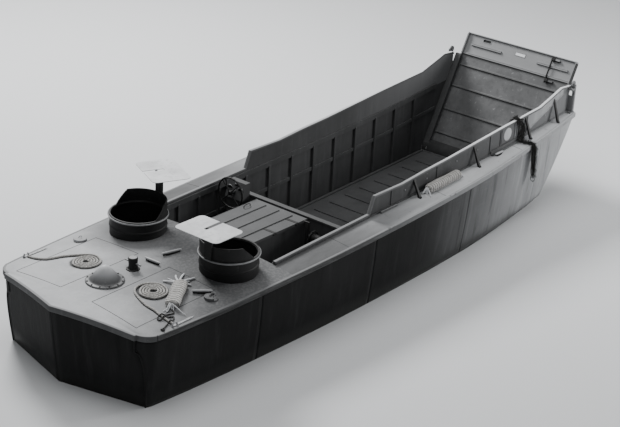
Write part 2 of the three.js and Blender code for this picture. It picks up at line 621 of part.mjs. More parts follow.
// The ramp in its own frame: X points out through it, Z up its slope, the hinge axis is at the origin.
function ramp() {
  const { half, start, top, thick } = RAMP;
  let shape = block(0, thick, -half, half, start, top);
  for (const [y0, y1] of [[-half, RAMP.flange.thick - half], [half - RAMP.flange.thick, half]]) {
    shape = shape.add(block(-RAMP.flange.deep, thick, y0, y1, start, top));
  }
  shape = shape.add(block(-RAMP.head.deep, thick, -half, half, top - RAMP.head.high, top));
  for (const { y0, y1, z } of RAMP_RIBS) {
    shape = shape.add(block(-RAMP.rib.deep, SUNK, y0, y1, z - RAMP.rib.half, z + RAMP.rib.half));
  }
  const { slot, recess } = RAMP;
  const opening = ({ wide, high, z }, y, back, front) => block(back, front, y - wide / 2, y + wide / 2,
    z - high / 2, z + high / 2);
  shape = shape.subtract(opening(slot, slot.y, -thick, 2 * thick));
  for (const y of RAMP_RECESSES) shape = shape.subtract(opening(recess, y, -thick, thick - recess.left));
  for (const y of RAMP_KNUCKLES) {
    shape = shape.add(block(0, KNUCKLE.leaf, y - KNUCKLE.half, y + KNUCKLE.half, 0, start + KNUCKLE.leaf));
    shape = shape.add(bar([0, y - KNUCKLE.half, 0], [0, y + KNUCKLE.half, 0], KNUCKLE.radius, PIN_SIDES));
  }
  shape = shape.subtract(bar([0, -half, 0], [0, half, 0], KNUCKLE.bore, PIN_SIDES));
  return shape.add(rampRod());
}

// Upright rod on the ramp's inner face, held off it by two hooked brackets.
function rampRod() {
  const { y, low, high, radius, out, bracket } = RAMP_ROD;
  const rod = bar([-out, y, low], [-out, y, high], radius, RAMP_ROD.sides);
  const brackets = [low + bracket.fromLow, high - bracket.fromHigh].map((z) => block(-out - bracket.over, SUNK,
    y - bracket.reach, y + bracket.back, z - bracket.half, z + bracket.half));
  return join(rod, ...brackets);
}

function bowRamp() {
  const swung = new THREE.Group();
  swung.position.set(RAMP.x, 0, RAMP.z);
  swung.rotation.y = THREE.MathUtils.degToRad(RAMP.lean);
  boat.add(swung);
  place('bow_ramp', ramp(), STEEL, swung);
}

// Sloping floor boards of the well with their tread battens.
function wellFloor() {
  const low = (x) => floorAt(x) + GAP;
  const slab = (x0, x1, up0, up1, half) => prismY([[x0, low(x0) + up0], [x1, low(x1) + up0], [x1, low(x1) + up1],
    [x0, low(x0) + up1]], -half, half);
  const fore = NOSE_X - FLOOR.foreGap;
  const aft = WELL_AFT + FLOOR.aftGap;
  let floor = slab(aft, fore, 0, FLOOR.thick, WELL_HALF - FLOOR.sideGap);
  for (let x = aft + BATTEN.first; x < fore - BATTEN.last; x += BATTEN.pitch) {
    floor = floor.add(slab(x, x + BATTEN.wide, SUNK, FLOOR.thick + BATTEN.high, BATTEN.half));
  }
  place('well_floor', floor, DARK_PAINT);
}

// Bulkhead at the aft end of the well, with its upright stiffeners and its flat cap.
function wellBulkhead() {
  const { half, low, top, thick, stud, cap } = BULKHEAD;
  const studBase = low + stud.lift;
  let bulkhead = block(WELL_AFT + GAP, WELL_AFT + thick, -half, half, low, top);
  for (const y of BULKHEAD_STUDS) {
    bulkhead = bulkhead.add(block(WELL_AFT + thick - SUNK, WELL_AFT + stud.deep, y - stud.half, y + stud.half,
      studBase, top));
  }
  bulkhead = bulkhead.add(block(WELL_AFT - cap.aft, WELL_AFT + cap.fore, -half, half, top - cap.under, top + SUNK));
  place('well_bulkhead', bulkhead, PAINT);
}

function engineRoom() {
  const { x0, x1, half, wall, top } = BOX;
  place('engine', block(ENGINE.x0, ENGINE.x1, -ENGINE.half, ENGINE.half, BAY.floor + GAP, ENGINE.top), DARK_PAINT);
  const outer = block(x0, x1, -half, half, SOLE_Z + GAP, top);
  const inner = block(x0 + wall, x1 - wall, wall - half, half - wall, 0, 2 * top);
  place('engine_box', outer.subtract(inner), PAINT);
  const edge = half + LID.over;
  const lidTop = top + LID.thick;
  let lid = block(x0 - LID.over, x1 + LID.over, -edge, edge, top + GAP, lidTop);
  for (const y of LID_BATTENS) {
    lid = lid.add(block(x0 + LID.end, x1 - LID.end, y - LID.battenHalf, y + LID.battenHalf, lidTop - SUNK,
      lidTop + LID.batten));
  }
  place('engine_box_lid', lid, DECK_PAINT);
}

// Steering console on the bulkhead, with the boss that the wheel's shaft turns in.
function steeringConsole() {
  const { standDeep, standHalf, standTop, headHalf, head, boss } = CONSOLE;
  const face = WELL_AFT - GAP;
  const stand = block(face - standDeep, face, WHEEL.y - standHalf, WHEEL.y + standHalf, SOLE_Z + GAP, standTop);
  const desk = prismY(head.map(([back, z]) => [face - back, z]), WHEEL.y - headHalf, WHEEL.y + headHalf);
  const bearing = bar([WHEEL.x + WHEEL.bossGap, WHEEL.y, WHEEL.z], [face - boss.sunk, WHEEL.y, WHEEL.z], boss.radius);
  place('steering_console', join(stand, desk, bearing), PAINT);
}

// Steering wheel, whose axis runs fore and aft.
function steeringWheel() {
  const { x, y, z, radius, rim, hub, spoke, bossGap } = WHEEL;
  const torus = new THREE.TorusGeometry(radius, rim, 6, 24);
  torus.rotateY(Math.PI / 2);
  torus.translate(x, y, z);
  let wheel = join(solid(torus), bar([x - hub.aft, y, z], [x + bossGap - GAP, y, z], hub.radius));
  for (let k = 0; k < WHEEL.spokes; k += 1) {
    const turn = (k + 0.5) * ((2 * Math.PI) / WHEEL.spokes);
    wheel = wheel.add(bar([x, y, z], [x, y + radius * Math.cos(turn), z + radius * Math.sin(turn)], spoke, 8));
  }
  place('steering_wheel', wheel, STEEL);
}

// Stand of the ramp's hand winch: a foot plate and two side plates with the drum's bearings.
function winchStand() {
  const { x, y, z, foot, plate } = WINCH;
  const sole = SOLE_Z + GAP;
  let stand = block(x - foot.deep, x + foot.deep, y - WINCH.sideAt - foot.over, y + WINCH.sideAt + foot.over,
    sole, sole + foot.thick);
  for (const side of [y - WINCH.sideAt, y + WINCH.sideAt]) {
    const outline = [[x - plate.low, sole + foot.thick / 2], [x + plate.low, sole + foot.thick / 2],
      [x + plate.high, z + plate.over], [x - plate.high, z + plate.over]];
    stand = stand.add(prismY(outline, side - plate.thick / 2, side + plate.thick / 2));
    stand = stand.subtract(bar([x, side - plate.thick, z], [x, side + plate.thick, z], WINCH.axle + 2 * GAP));
  }
  place('winch_stand', stand, STEEL);
}

// Winch drum between its flanges, with the axle, the crank arm and the handle.
function winchDrum() {
  const { x, y, z, flange, arm, handle } = WINCH;
  const reach = y + WINCH.sideAt + arm.out;
  let drum = bar([x, y - WINCH.sideAt - WINCH.axleEnd, z], [x, reach, z], WINCH.axle);
  drum = drum.add(bar([x, y - WINCH.half, z], [x, y + WINCH.half, z], WINCH.drum));
  for (const sign of [-1, 1]) {
    const at = (out) => [x, y + sign * (WINCH.half + out), z];
    drum = drum.add(bar(at(-SUNK), at(flange.thick), flange.radius));
  }
  const armTop = z + arm.long + arm.half;
  drum = drum.add(block(x - arm.half, x + arm.half, reach - arm.thick, reach, z - arm.tail, armTop));
  drum = drum.add(bar([x, reach - SUNK, z + arm.long], [x, reach + handle.long, z + arm.long], handle.radius));
  place('winch_drum', drum, STEEL);
}

// One gun tub let into the deck: a cup with a turned rim.
function tub(sign) {
  const { radius, wall, floor, bottom, rim, rimHigh, ringOut, ringIn } = TUB;
  const inner = radius - wall;
  const under = rim - rimHigh;
  return turned([[0, floor], [radius, floor], [radius, under], [ringOut, under], [ringOut, rim], [ringIn, rim],
    [ringIn, under], [inner, under], [inner, floor + bottom], [0, floor + bottom]], TUB.x, sign * TUB.y);
}

// Turning carriage in its own frame: X points to the side that its half wall and shield stand on.
function carriage() {
  const { post, axisZ, ring, fence, plate, neck, pivot } = CARRIAGE;
  const base = TUB.rim + 2 * GAP;
  const [ringIn, ringOut] = [TUB.ringIn + ring.inset, TUB.ringOut - ring.inset];
  const hoop = turned(ringProfile(ringIn, ringOut, base, base + ring.thick), 0, 0);
  const wall = turned(ringProfile(fence.in, fence.out, base + SUNK, fence.top), 0, 0);
  const kept = prismY([[fence.lowFrom, base], [fence.topFrom, fence.top + SUNK], [2 * post, fence.top + SUNK],
    [2 * post, base]], -2 * post, 2 * post);
  const upright = block(fence.out - plate.sunk, post + plate.deep, -plate.half, plate.half, base + SUNK,
    axisZ - plate.under);
  const stem = block(post - neck.back, post + plate.deep, -neck.half, neck.half, axisZ - neck.high, axisZ);
  const barrel = bar([post, -neck.half, axisZ], [post, neck.half, axisZ], pivot.barrel);
  const pin = bar([post, -pivot.half, axisZ], [post, pivot.half, axisZ], pivot.pin);
  return join(hoop, wall.intersect(kept), upright, stem, barrel, pin);
}

// Rounded plate of the shield, lying level a lift above the pivot's axis, with the slot that opens inwards.
function shieldPlate(lift, aside) {
  const outline = new THREE.Shape();
  const [deep, wide, corner] = [SHIELD.deep / 2, SHIELD.wide / 2, SHIELD.corner];
  outline.moveTo(-deep, -wide + corner);
  outline.absarc(-deep + corner, -wide + corner, corner, Math.PI, 1.5 * Math.PI, false);
  outline.absarc(deep - corner, -wide + corner, corner, -0.5 * Math.PI, 0, false);
  outline.absarc(deep - corner, wide - corner, corner, 0, 0.5 * Math.PI, false);
  outline.absarc(-deep + corner, wide - corner, corner, 0.5 * Math.PI, Math.PI, false);
  const sheet = new THREE.ExtrudeGeometry(outline, { depth: SHIELD.thick, bevelEnabled: false, curveSegments: 4 });
  sheet.translate(SHIELD.outward, aside, CARRIAGE.axisZ + lift);
  const { slot, thick } = SHIELD;
  const mouth = SHIELD.outward - deep;
  const low = CARRIAGE.axisZ + lift - thick;
  return solid(sheet).subtract(block(mouth - thick, mouth + slot.deep, -slot.wide / 2, slot.wide / 2,
    low, low + 3 * thick));
}

// Shield in the carriage's frame: the plate turned about the post, and two hinge ears under it.
function shield({ lift, turn, aside }) {
  const { post, axisZ, pivot } = CARRIAGE;
  const { ear, thick } = SHIELD;
  let shape = shieldPlate(lift, aside).rotate([0, 0, turn]).translate([post, 0, 0]);
  for (const side of [-ear.at, ear.at]) {
    const [y0, y1] = [side - ear.thick / 2, side + ear.thick / 2];
    const lug = bar([post, y0, axisZ], [post, y1, axisZ], ear.radius);
    const web = block(post - ear.radius, post + ear.radius, y0, y1, axisZ, axisZ + lift + thick / 4);
    const bore = bar([post, y0 - ear.thick, axisZ], [post, y1 + ear.thick, axisZ], pivot.pin + 2 * GAP);
    shape = shape.add(join(lug, web).subtract(bore));
  }
  return shape;
}

// The port carriage faces forward and the starboard one aft.
function gunMounts() {
  for (const mount of MOUNTS) {
    const { side, sign, facing } = mount;
    place(`gun_tub_${side}`, tub(sign), DARK_PAINT);
    const turret = new THREE.Group();
    turret.position.set(TUB.x, sign * TUB.y, 0);
    turret.rotation.z = THREE.MathUtils.degToRad(facing);
    boat.add(turret);
    place(`gun_carriage_${side}`, carriage(), DARK_PAINT, turret);
    place(`gun_shield_${side}`, shield(mount), DECK_PAINT, turret);
  }
}

// Keel bar, deadwood with the stern bearing, and the shoe under the propeller.
function keel() {
  const { half, heelZ, aft, shoeAft, shoeTop, bearing } = SKEG;
  const [[fore]] = KEEL_LINE;
  const stern = [[aft, heelZ], [shoeAft, heelZ], [shoeAft, shoeTop], [aft, shoeTop], [aft, 0]];
  const outline = [...KEEL_LINE, ...stern, [fore, 0]];
  let shape = prismY(outline, -half, half);
  const slope = Math.tan(THREE.MathUtils.degToRad(SHAFT.tilt));
  const onShaft = (x) => [x, 0, SHAFT.z + (x - SHAFT.x) * slope];
  shape = shape.add(bar(onShaft(aft - bearing.out), onShaft(aft + bearing.in), bearing.radius));
  shape = shape.subtract(bar(onShaft(aft - 2 * bearing.out), onShaft(aft + bearing.bore), PROP.shaft + 1));
  shape = shape.subtract(bar([RUDDER.x, 0, 2 * heelZ], [RUDDER.x, 0, 0], RUDDER.pintle + 1));
  place('keel_and_skeg', shape.subtract(hullForm(0).translate([0, 0, -GAP])), DARK_PAINT);
}

// One blade of the propeller, lofted out along Z through diamond sections that twist.
function propellerBlade() {
  return loft(PROP_BLADE.map(({ radius, chord, pitch, thick }) => {
    const lean = THREE.MathUtils.degToRad(pitch);
    const [s, c] = [Math.sin(lean), Math.cos(lean)];
    const corners = [[-chord / 2, 0], [0, thick], [chord / 2, 0], [0, -thick]];
    return corners.map(([a, t]) => [a * s - t * c, a * c + t * s, radius]);
  }));
}

// Propeller in its own frame, its axis along X, with the shaft stub that enters the stern bearing.
function propeller() {
  const nose = new THREE.LatheGeometry(PROP_HUB.map(([radius, x]) => new THREE.Vector2(radius, x)), 16);
  nose.rotateZ(-Math.PI / 2);
  let shape = solid(nose);
  for (let k = 0; k < PROP.blades; k += 1) {
    shape = shape.add(propellerBlade().rotate([(360 * k) / PROP.blades, 0, 0]));
  }
  const tilted = new THREE.Group();
  tilted.position.set(SHAFT.x, 0, SHAFT.z);
  tilted.rotation.y = -THREE.MathUtils.degToRad(SHAFT.tilt);
  boat.add(tilted);
  place('propeller', shape, BRONZE, tilted);
}

// Rudder blade with its stock, which turns in the hull above and in the shoe below.
function rudder() {
  const { x, top, bottom, stock, pintle, plan } = RUDDER;
  const port = plan.map(([along, half]) => [x + along, half]);
  const starboard = plan.slice(1, -1).toReversed().map(([along, half]) => [x + along, -half]);
  const blade = loft([bottom, top].map((z) => [...port, ...starboard].map(([px, py]) => [px, py, z])));
  const upper = bar([x, 0, bottom + RUDDER.sunk], [x, 0, RUDDER.stockTop], stock);
  const lower = bar([x, 0, SKEG.heelZ + RUDDER.pintleUp], [x, 0, bottom + RUDDER.sunk], pintle);
  place('rudder', join(blade, upper, lower), STEEL);
}

// Bell-shaped vent on its bolted flange.
function ventDome() {
  const base = deckTop(VENT.x, VENT.y);
  const profile = [[0, -VENT.sunk], [VENT.flange, -VENT.sunk], ...VENT_PROFILE].map(([r, z]) => [r, base + z]);
  place('vent_dome', onDeck(turned(profile, VENT.x, VENT.y)), DECK_PAINT);
}

// Mooring bitt: a waisted post on a round foot, with a cross pin.
function mooringBitt() {
  const { x, y, sunk, pin } = BITT;
  const base = deckTop(x, y);
  const [[foot]] = BITT_PROFILE;
  const post = turned([[0, -sunk], [foot, -sunk], ...BITT_PROFILE].map(([r, z]) => [r, base + z]), x, y, 20);
  const cross = bar([x, y - pin.half, base + pin.z], [x, y + pin.half, base + pin.z], pin.radius, 10);
  place('mooring_bitt', onDeck(join(post, cross)), DARK_PAINT);
}

function cleats() {
  for (const { name, x, y, heading, long } of CLEATS) {
    const half = long / 2;
    const { low, under, top, tip, hornHalf, footShare, legShare, leg, foot } = CLEAT;
    const horns = prismY([[-half, under], [tip - half, low], [half - tip, low], [half, under], [half - tip / 2, top],
      [tip / 2 - half, top]], -hornHalf, hornHalf);
    const plate = block(-half * footShare, half * footShare, -foot.half, foot.half, -foot.sunk, foot.thick);
    const legs = [-1, 1].map((s) => block(s * half * legShare - leg.deep, s * half * legShare + leg.deep,
      -leg.half, leg.half, foot.thick - SUNK, low + SUNK));
    const shape = join(plate, horns, ...legs).rotate([0, 0, heading]).translate([x, y, deckTop(x, y)]);
    place(`cleat_${name}`, onDeck(shape), DARK_PAINT);
  }
}

// Chocks at the quarters: a low bar, pointed at both ends, with two horns that a line passes between.
function chocks() {
  for (const [side, sign] of [['port', 1], ['starboard', -1]]) {
    const { x, halfLong, halfWide, point, sunk, thick, horn } = CHOCK;
    const y = sign * CHOCK.y;
    const base = deckTop(x, y);
    const outline = [[-halfLong, 0], [point - halfLong, -halfWide], [halfLong - point, -halfWide], [halfLong, 0],
      [halfLong - point, halfWide], [point - halfLong, halfWide]].map(([along, out]) => [x + along, y + out]);
    const horns = horn.at.map((at) => block(x + at - horn.deep, x + at + horn.deep,
      y - horn.half, y + horn.half, base, base + horn.high));
    place(`chock_${side}`, onDeck(join(prismZ(outline, base - sunk, base + thick), ...horns)), DARK_PAINT);
  }
}

// Hoisting pads: low drums, hollowed to a crescent on the side away from the well.
function hoistingPads() {
  for (const [side, sign] of [['port', 1], ['starboard', -1]]) {
    const [x, y] = [PAD.x, sign * PAD.y];
    const base = deckTop(x, y);
    const drum = turned([[0, -PAD.sunk], [PAD.radius, -PAD.sunk], [PAD.radius, PAD.high], [0, PAD.crown]]
      .map(([r, z]) => [r, base + z]), x, y, 16);
    const hollowAt = (z) => [x + PAD.hollow.fore, y + sign * PAD.hollow.out, base + z];
    const hollow = bar(hollowAt(PAD.hollow.floor), hollowAt(2 * PAD.crown), PAD.hollow.radius);
    place(`hoisting_pad_${side}`, onDeck(drum.subtract(hollow)), DECK_PAINT);
  }
}

// Mooring lines: a flat coil on the aft deck and its lead to the chock at the quarter.
function mooringLines() {
  for (const { name, x, y } of COILS) {
    const [starboardEdge, portEdge] = [deckTop(x, y - COIL.out), deckTop(x, y + COIL.out)];
    const rise = (portEdge - starboardEdge) / (2 * COIL.out);
    const ring = turned(ringProfile(COIL.in, COIL.out, -COIL.sunk, 2 * LINE_RADIUS + 1), 0, 0, 24)
      .rotate([THREE.MathUtils.radToDeg(Math.atan(rise)), 0, 0])
      .translate([x, y, (portEdge + starboardEdge) / 2]);
    place(`line_coil_${name}`, onDeck(ring), ROPE);
    const route = LEADS[name].map(([px, py]) => [px, py, deckTop(px, py) + LINE_RADIUS + LINE_CLEAR]);
    place(`line_lead_${name}`, line(route, LINE_RADIUS, 24), ROPE);
  }
}

// Woven rope fenders that lie on the deck, flattened, and drawn in at both ends.
function fenders() {
  for (const { name, from, to, radius, flat } of FENDERS) {
    const up = radius * flat - FENDER.settle;
    const [a, b] = [from, to].map(([x, y]) => new THREE.Vector3(x, y, deckTop(x, y) + up));
    const half = a.distanceTo(b) / 2;
    const shoulder = half - radius * FENDER.taper;
    const neck = radius * FENDER.neck;
    const profile = [[0, -half], [neck, -half], [radius, -shoulder], [radius, shoulder], [neck, half], [0, half]];
    const shape = new THREE.LatheGeometry(profile.map(([r, s]) => new THREE.Vector2(r, s)), 14);
    shape.scale(1, 1, flat);
    const along = b.clone().sub(a).normalize();
    shape.applyQuaternion(new THREE.Quaternion().setFromUnitVectors(new THREE.Vector3(0, 1, 0), along));
    const middle = a.add(b).multiplyScalar(0.5);
    shape.translate(middle.x, middle.y, middle.z);
    place(`rope_fender_${name}`, onDeck(solid(shape)), ROPE);
  }
}

// Chafing rope over the starboard coaming's cap, across the side deck and down the side, with its eye.
function chafingRope() {
  place('chafing_rope', line(CHAFE_ROUTE, CHAFE_RADIUS, 48), DARK_ROPE);
  const [x, y, z] = CHAFE_ROUTE.at(-1);
  const { ring, thick, neck, socket } = EYE;
  const loop = new THREE.TorusGeometry(ring, thick, 6, 16);
  loop.rotateY(Math.PI / 2);
  loop.translate(x, y, z - neck - ring);
  const cup = bar([x, y, z - neck - thick], [x, y, z - socket.below], CHAFE_RADIUS + socket.over, 10);
  place('chafing_rope_eye', join(solid(loop), cup), STEEL);
}

hull();
decks();
rubRails();
coamings();
bowPosts();
headlog();
bowRamp();
wellFloor();
wellBulkhead();
engineRoom();
steeringConsole();
steeringWheel();
winchStand();
winchDrum();
gunMounts();
keel();
propeller();
rudder();
ventDome();
mooringBitt();
cleats();
chocks();
hoistingPads();
mooringLines();
fenders();
chafingRope();

export default boat;
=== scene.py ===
"""Looks of the military landing craft, in metres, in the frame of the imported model.

X runs towards the bow, Y to port and Z up. The origin is at the waterline amidships.
"""
import math

import bmesh
import bpy
import numpy as np
from mathutils import Matrix, Vector


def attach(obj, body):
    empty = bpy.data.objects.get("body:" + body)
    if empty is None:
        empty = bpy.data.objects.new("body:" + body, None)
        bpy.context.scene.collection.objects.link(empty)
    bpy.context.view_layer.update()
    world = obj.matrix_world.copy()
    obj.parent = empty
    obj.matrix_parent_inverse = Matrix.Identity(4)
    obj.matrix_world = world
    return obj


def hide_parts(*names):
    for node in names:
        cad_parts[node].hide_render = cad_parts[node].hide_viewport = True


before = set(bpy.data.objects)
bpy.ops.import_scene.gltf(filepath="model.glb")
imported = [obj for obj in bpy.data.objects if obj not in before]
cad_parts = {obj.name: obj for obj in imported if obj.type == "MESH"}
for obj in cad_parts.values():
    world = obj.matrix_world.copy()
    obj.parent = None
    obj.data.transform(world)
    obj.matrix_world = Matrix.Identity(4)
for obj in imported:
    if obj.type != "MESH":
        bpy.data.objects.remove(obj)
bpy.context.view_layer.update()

# Camera: where it stands and how it is turned, from the fit to the photograph
CAMERA = {"azimuth": 38.628, "elevation": 23.949, "roll": 3.063, "lens": 92.69,
          "eye": (-17.683, -13.983, 10.792)}
FLOOR_REACH = 60.0

# Hull form at each station; half_beam and sheer are those of the deck edge
STATION_COLUMNS = ("x", "half_beam", "sheer", "chine_half", "chine_z", "bilge_z", "keel_z")
STATIONS = np.array([
    (-5.6, 1.368, 1.095, 1.23, 0.01, -0.18, -0.09),
    (-5.0, 1.43, 1.098, 1.315, -0.005, -0.2, -0.11),
    (-4.0, 1.505, 1.105, 1.4, -0.03, -0.24, -0.19),
    (-3.0, 1.55, 1.12, 1.45, -0.05, -0.35, -0.36),
    (-1.3, 1.605, 1.16, 1.5, -0.06, -0.44, -0.6),
    (0.7, 1.605, 1.215, 1.49, -0.03, -0.44, -0.66),
    (2.2, 1.565, 1.27, 1.44, 0.01, -0.37, -0.63),
    (3.5, 1.475, 1.34, 1.37, 0.09, -0.15, -0.35),
    (4.5, 1.405, 1.425, 1.31, 0.22, 0.15, 0.11),
    (5.1, 1.345, 1.48, 1.27, 0.48, 0.42, 0.4),
    (5.6, 1.295, 1.53, 1.23, 0.76, 0.68, 0.64),
])
BILGE_SHARE = 0.55
SIDE_BULGE = 0.018
CHINE_IN = 0.02
CROWN = 0.08
QUARTER_START = -4.9
QUARTER_RADIUS = 0.2
TRANSOM_APEX, TRANSOM_SWEEP, TRANSOM_RAKE, DECK_AFT_Z = -5.439, 0.25, 0.11, 1.1
BOW_EDGE_X, BOW_EDGE_Z, BOW_EDGE_SLOPE = 5.25, 1.48, 0.66
NOSE_X = 4.4
WELL_AFT, COCKPIT_AFT, SOLE_Z = -0.8, -2.45, 0.35
WELL_FLOOR_AFT, WELL_FLOOR_FORE = 0.12, 0.27
COAMING_OUT = 1.225
COAMING_TOP = np.array([
    (-2.45, 1.215), (-0.34, 1.275), (-0.23, 1.54), (0.46, 1.535), (1.02, 1.58), (1.65, 1.615), (2.23, 1.66),
    (3.13, 1.73), (4.26, 1.8), (4.72, 1.93), (4.9, 1.985), (5.18, 1.965),
])

STRAPS = (0.77, 2.36, 3.85, 4.69)
RAMP_X, RAMP_Z, RAMP_LEAN = 4.52, 0.33, 28
RAMP_RIBS = [
    (0.37, 1.0, 1.99), (-1.0, -0.37, 1.99), (-1.095, 1.095, 1.808), (-1.095, 1.095, 1.6), (-1.095, 1.095, 1.2),
    (-1.095, 1.095, 0.76), (-1.095, 1.095, 0.32),
]
WHEEL_AT = (-1.08, 0.85, 1.19)
SIDES = (("port", 1), ("starboard", -1))
ALONG, ASIDE, UP = np.eye(3)

# Skins laid over the plain solids, and the joints between their sheets
SKIN = 0.004
SKIN_THICK = 0.003
SHEET_GAP = 0.004
SIDE_JOINTS = (-3.05, -0.62, 1.82, 4.05)

# Tubs, ropes and fittings of the deck
TUB_X, TUB_Y, TUB_RADIUS, TUB_RIM = -3.0, 0.88, 0.41, 1.45
SHIELD_AXIS_Z, SHIELD_POST = 1.885, 0.415
LAY, ROPE_SIDES = 5.5, 18
LINE_RADIUS = 0.0155
LINE_LIFT = 0.017
COIL_PITCH = 0.0385
COIL_INNER = 0.04
COIL_OUTER = 0.206
PAD_X, PAD_Y = -3.765, 1.265
COILS = {"port": (-4.251, 0.623), "starboard": (-4.231, -0.645)}
LEADS = {
    "port": [
        (-4.0881, 0.7859), (-4.16, 0.858), (-4.245, 0.932), (-4.34, 1.004), (-4.44, 1.052), (-4.53, 1.105),
        (-4.585, 1.19), (-4.612, 1.29), (-4.618, 1.3996),
    ],
    "starboard": [
        (-4.231, -0.4154), (-4.316, -0.424), (-4.396, -0.472), (-4.452, -0.548), (-4.492, -0.64),
        (-4.53, -0.74), (-4.562, -0.86), (-4.566, -0.99), (-4.59, -1.13), (-4.612, -1.27), (-4.618, -1.3996),
    ],
}
CHAFE_RADIUS = 0.015
CHAFE_ROUTE = [
    (3.556, -1.162, 1.54), (3.557, -1.162, 1.64), (3.558, -1.1625, 1.718), (3.562, -1.1795, 1.7625),
    (3.566, -1.2225, 1.7804), (3.576, -1.266, 1.7625), (3.6, -1.2825, 1.718), (3.652, -1.284, 1.64),
    (3.668, -1.284, 1.55), (3.65, -1.285, 1.46), (3.632, -1.303, 1.406), (3.638, -1.346, 1.386),
    (3.662, -1.405, 1.385), (3.686, -1.466, 1.39), (3.7, -1.5105, 1.373), (3.706, -1.529, 1.328),
    (3.716, -1.53, 1.22), (3.731, -1.53, 1.08), (3.745, -1.53, 0.94), (3.758, -1.53, 0.8),
]
CLEATS = {
    "aft_centre": (-3.64, -0.05, 93, 0.29), "fore_centre": (-3.26, -0.04, -14, 0.33),
    "quarter_starboard": (-3.765, -1.1, -45, 0.29),
    "bow_starboard": (2.97, -1.318, 0, 0.225), "bow_port": (2.97, 1.318, 0, 0.225),
}
STRAND_ROOT = (-3.85, -0.77)
STRAND_TIPS = ((-3.934, -0.541), (-3.586, -0.595), (-3.556, -0.772), (-3.734, -0.868), (-3.7, -0.55))
LANYARD = [
    (-4.36, -1.115), (-4.426, -1.221), (-4.514, -1.195), (-4.665, -1.166), (-4.694, -1.223), (-4.594, -1.231),
    (-4.491, -1.285), (-4.567, -1.339), (-4.663, -1.354), (-4.72, -1.372), (-4.801, -1.404),
]
FENDER_RIB = 0.05
FENDERS = {
    "aft": {"start": (-3.838, -0.782), "end": (-4.338, -1.105), "radius": 0.11, "flat": 0.55, "neck": 0.84},
    "side": {"start": (0.99, -1.345), "end": (1.79, -1.345), "radius": 0.092, "flat": 0.85, "neck": 0.6},
}


# Hull form

def station(column, x):
    """A column's value at x: cubic pieces between the stations, with slopes shared at each station."""
    at = STATIONS[:, 0]
    value = STATIONS[:, STATION_COLUMNS.index(column)]
    order = np.arange(len(at))
    low, high = np.maximum(order - 1, 0), np.minimum(order + 1, len(at) - 1)
    slope = (value[high] - value[low]) / (at[high] - at[low])
    i = np.searchsorted(at[1:-1], x, side="left")
    span = at[i + 1] - at[i]
    t = (x - at[i]) / span
    rise = (3 - 2 * t) * t * t
    return (value[i] * (1 - rise) + value[i + 1] * rise
            + span * t * (1 - t) * ((1 - t) * slope[i] - t * slope[i + 1]))


def quarter_inset(x):
    """How far the rounded quarter draws the side in: a quarter circle aft of where it starts."""
    past = np.clip(QUARTER_START - x, 0, QUARTER_RADIUS)
    return QUARTER_RADIUS - np.sqrt(QUARTER_RADIUS ** 2 - past ** 2)


def deck_half(x):
    return station("half_beam", x) - quarter_inset(x)


def deck_top(x, y):
    """Height of the deck: a parabola across the beam, 80 mm high in the middle, on the sheer line."""
    return station("sheer", x) + CROWN * (1 - np.minimum(1, np.abs(y) / deck_half(x)) ** 2)


def chine_half(x):
    return np.minimum(station("chine_half", x) - quarter_inset(x), deck_half(x) - CHINE_IN)


def side_at(x, drop):
    """Port side at x, drop 0 at the deck edge and 1 at the chine: a straight line with a parabola's bulge."""
    y = deck_half(x) * (1 - drop) + chine_half(x) * drop + SIDE_BULGE * 4 * drop * (1 - drop)
    return y, station("sheer", x) * (1 - drop) + station("chine_z", x) * drop


def bottom_at(x, share):
    """Port bottom at x, share 1 at the chine, 0 at the keel, and a straight line either side of the bilge."""
    chine = chine_half(x)
    outer = np.clip((share - BILGE_SHARE) / (1 - BILGE_SHARE), 0, 1)
    inner = np.clip(share / BILGE_SHARE, 0, 1)
    low = station("keel_z", x) * (1 - inner) + station("bilge_z", x) * inner
    return chine * share, low + (station("chine_z", x) - station("bilge_z", x)) * outer


def transom_x(y, z):
    return TRANSOM_APEX + TRANSOM_RAKE * (DECK_AFT_Z - z) + TRANSOM_SWEEP * np.abs(y)


def bow_x(z):
    return BOW_EDGE_X + BOW_EDGE_SLOPE * (z - BOW_EDGE_Z)


def settle(place, start, edge=transom_x):
    """Where a line of the hull meets an end plane: place(x) gives y and z, and substitution closes in."""
    x = start
    for _ in range(40):
        y, z = place(x)
        x = 0.5 * (x + edge(y, z))
    return x


def side_end(drop):
    """Aft end of the side at each drop."""
    return settle(lambda x: side_at(x, drop), -4.9)


def bottom_end(share):
    return settle(lambda x: bottom_at(x, share), -5.2)


def deck_end(share):
    return settle(lambda x: (share * deck_half(x), deck_top(x, share * deck_half(x))), -5.2)


# Forms: points with faces and their pattern coordinates, before they become a mesh

def coords(*parts):
    """Points from coordinates that are broadcast together."""
    return np.stack(np.broadcast_arrays(*parts), -1)


def full_turn(count):
    return np.linspace(0, 2 * math.pi, count, endpoint=False)


def circle(radius, turn, *rest):
    """Points round a circle at the given angles, then any further coordinates."""
    return coords(radius * np.cos(turn), radius * np.sin(turn), *rest)


class Form:
    """Points, blocks of faces with equal corners, and for each block its corners' pattern coordinates, which
    are zero for the blocks past those given."""

    def __init__(self, points, faces, uv=()):
        self.points = np.asarray(points, float).reshape(-1, 3)
        self.faces = [np.asarray(block, int) for block in faces]
        self.uv = [*uv, *(np.zeros(block.shape + (2,)) for block in self.faces[len(uv):])]

    def turned_over(self):
        return Form(self.points, [b[:, ::-1] for b in self.faces], [u[:, ::-1] for u in self.uv])

    def mirrored(self):
        """The form on the other side of the boat, still facing outwards."""
        flipped = self.turned_over()
        flipped.points = self.points * (1, -1, 1)
        return flipped

    def moved(self, matrix):
        """The form put through a 4x4 matrix."""
        m = np.array(matrix)
        return Form(self.points @ m[:3, :3].T + m[:3, 3], self.faces, self.uv)


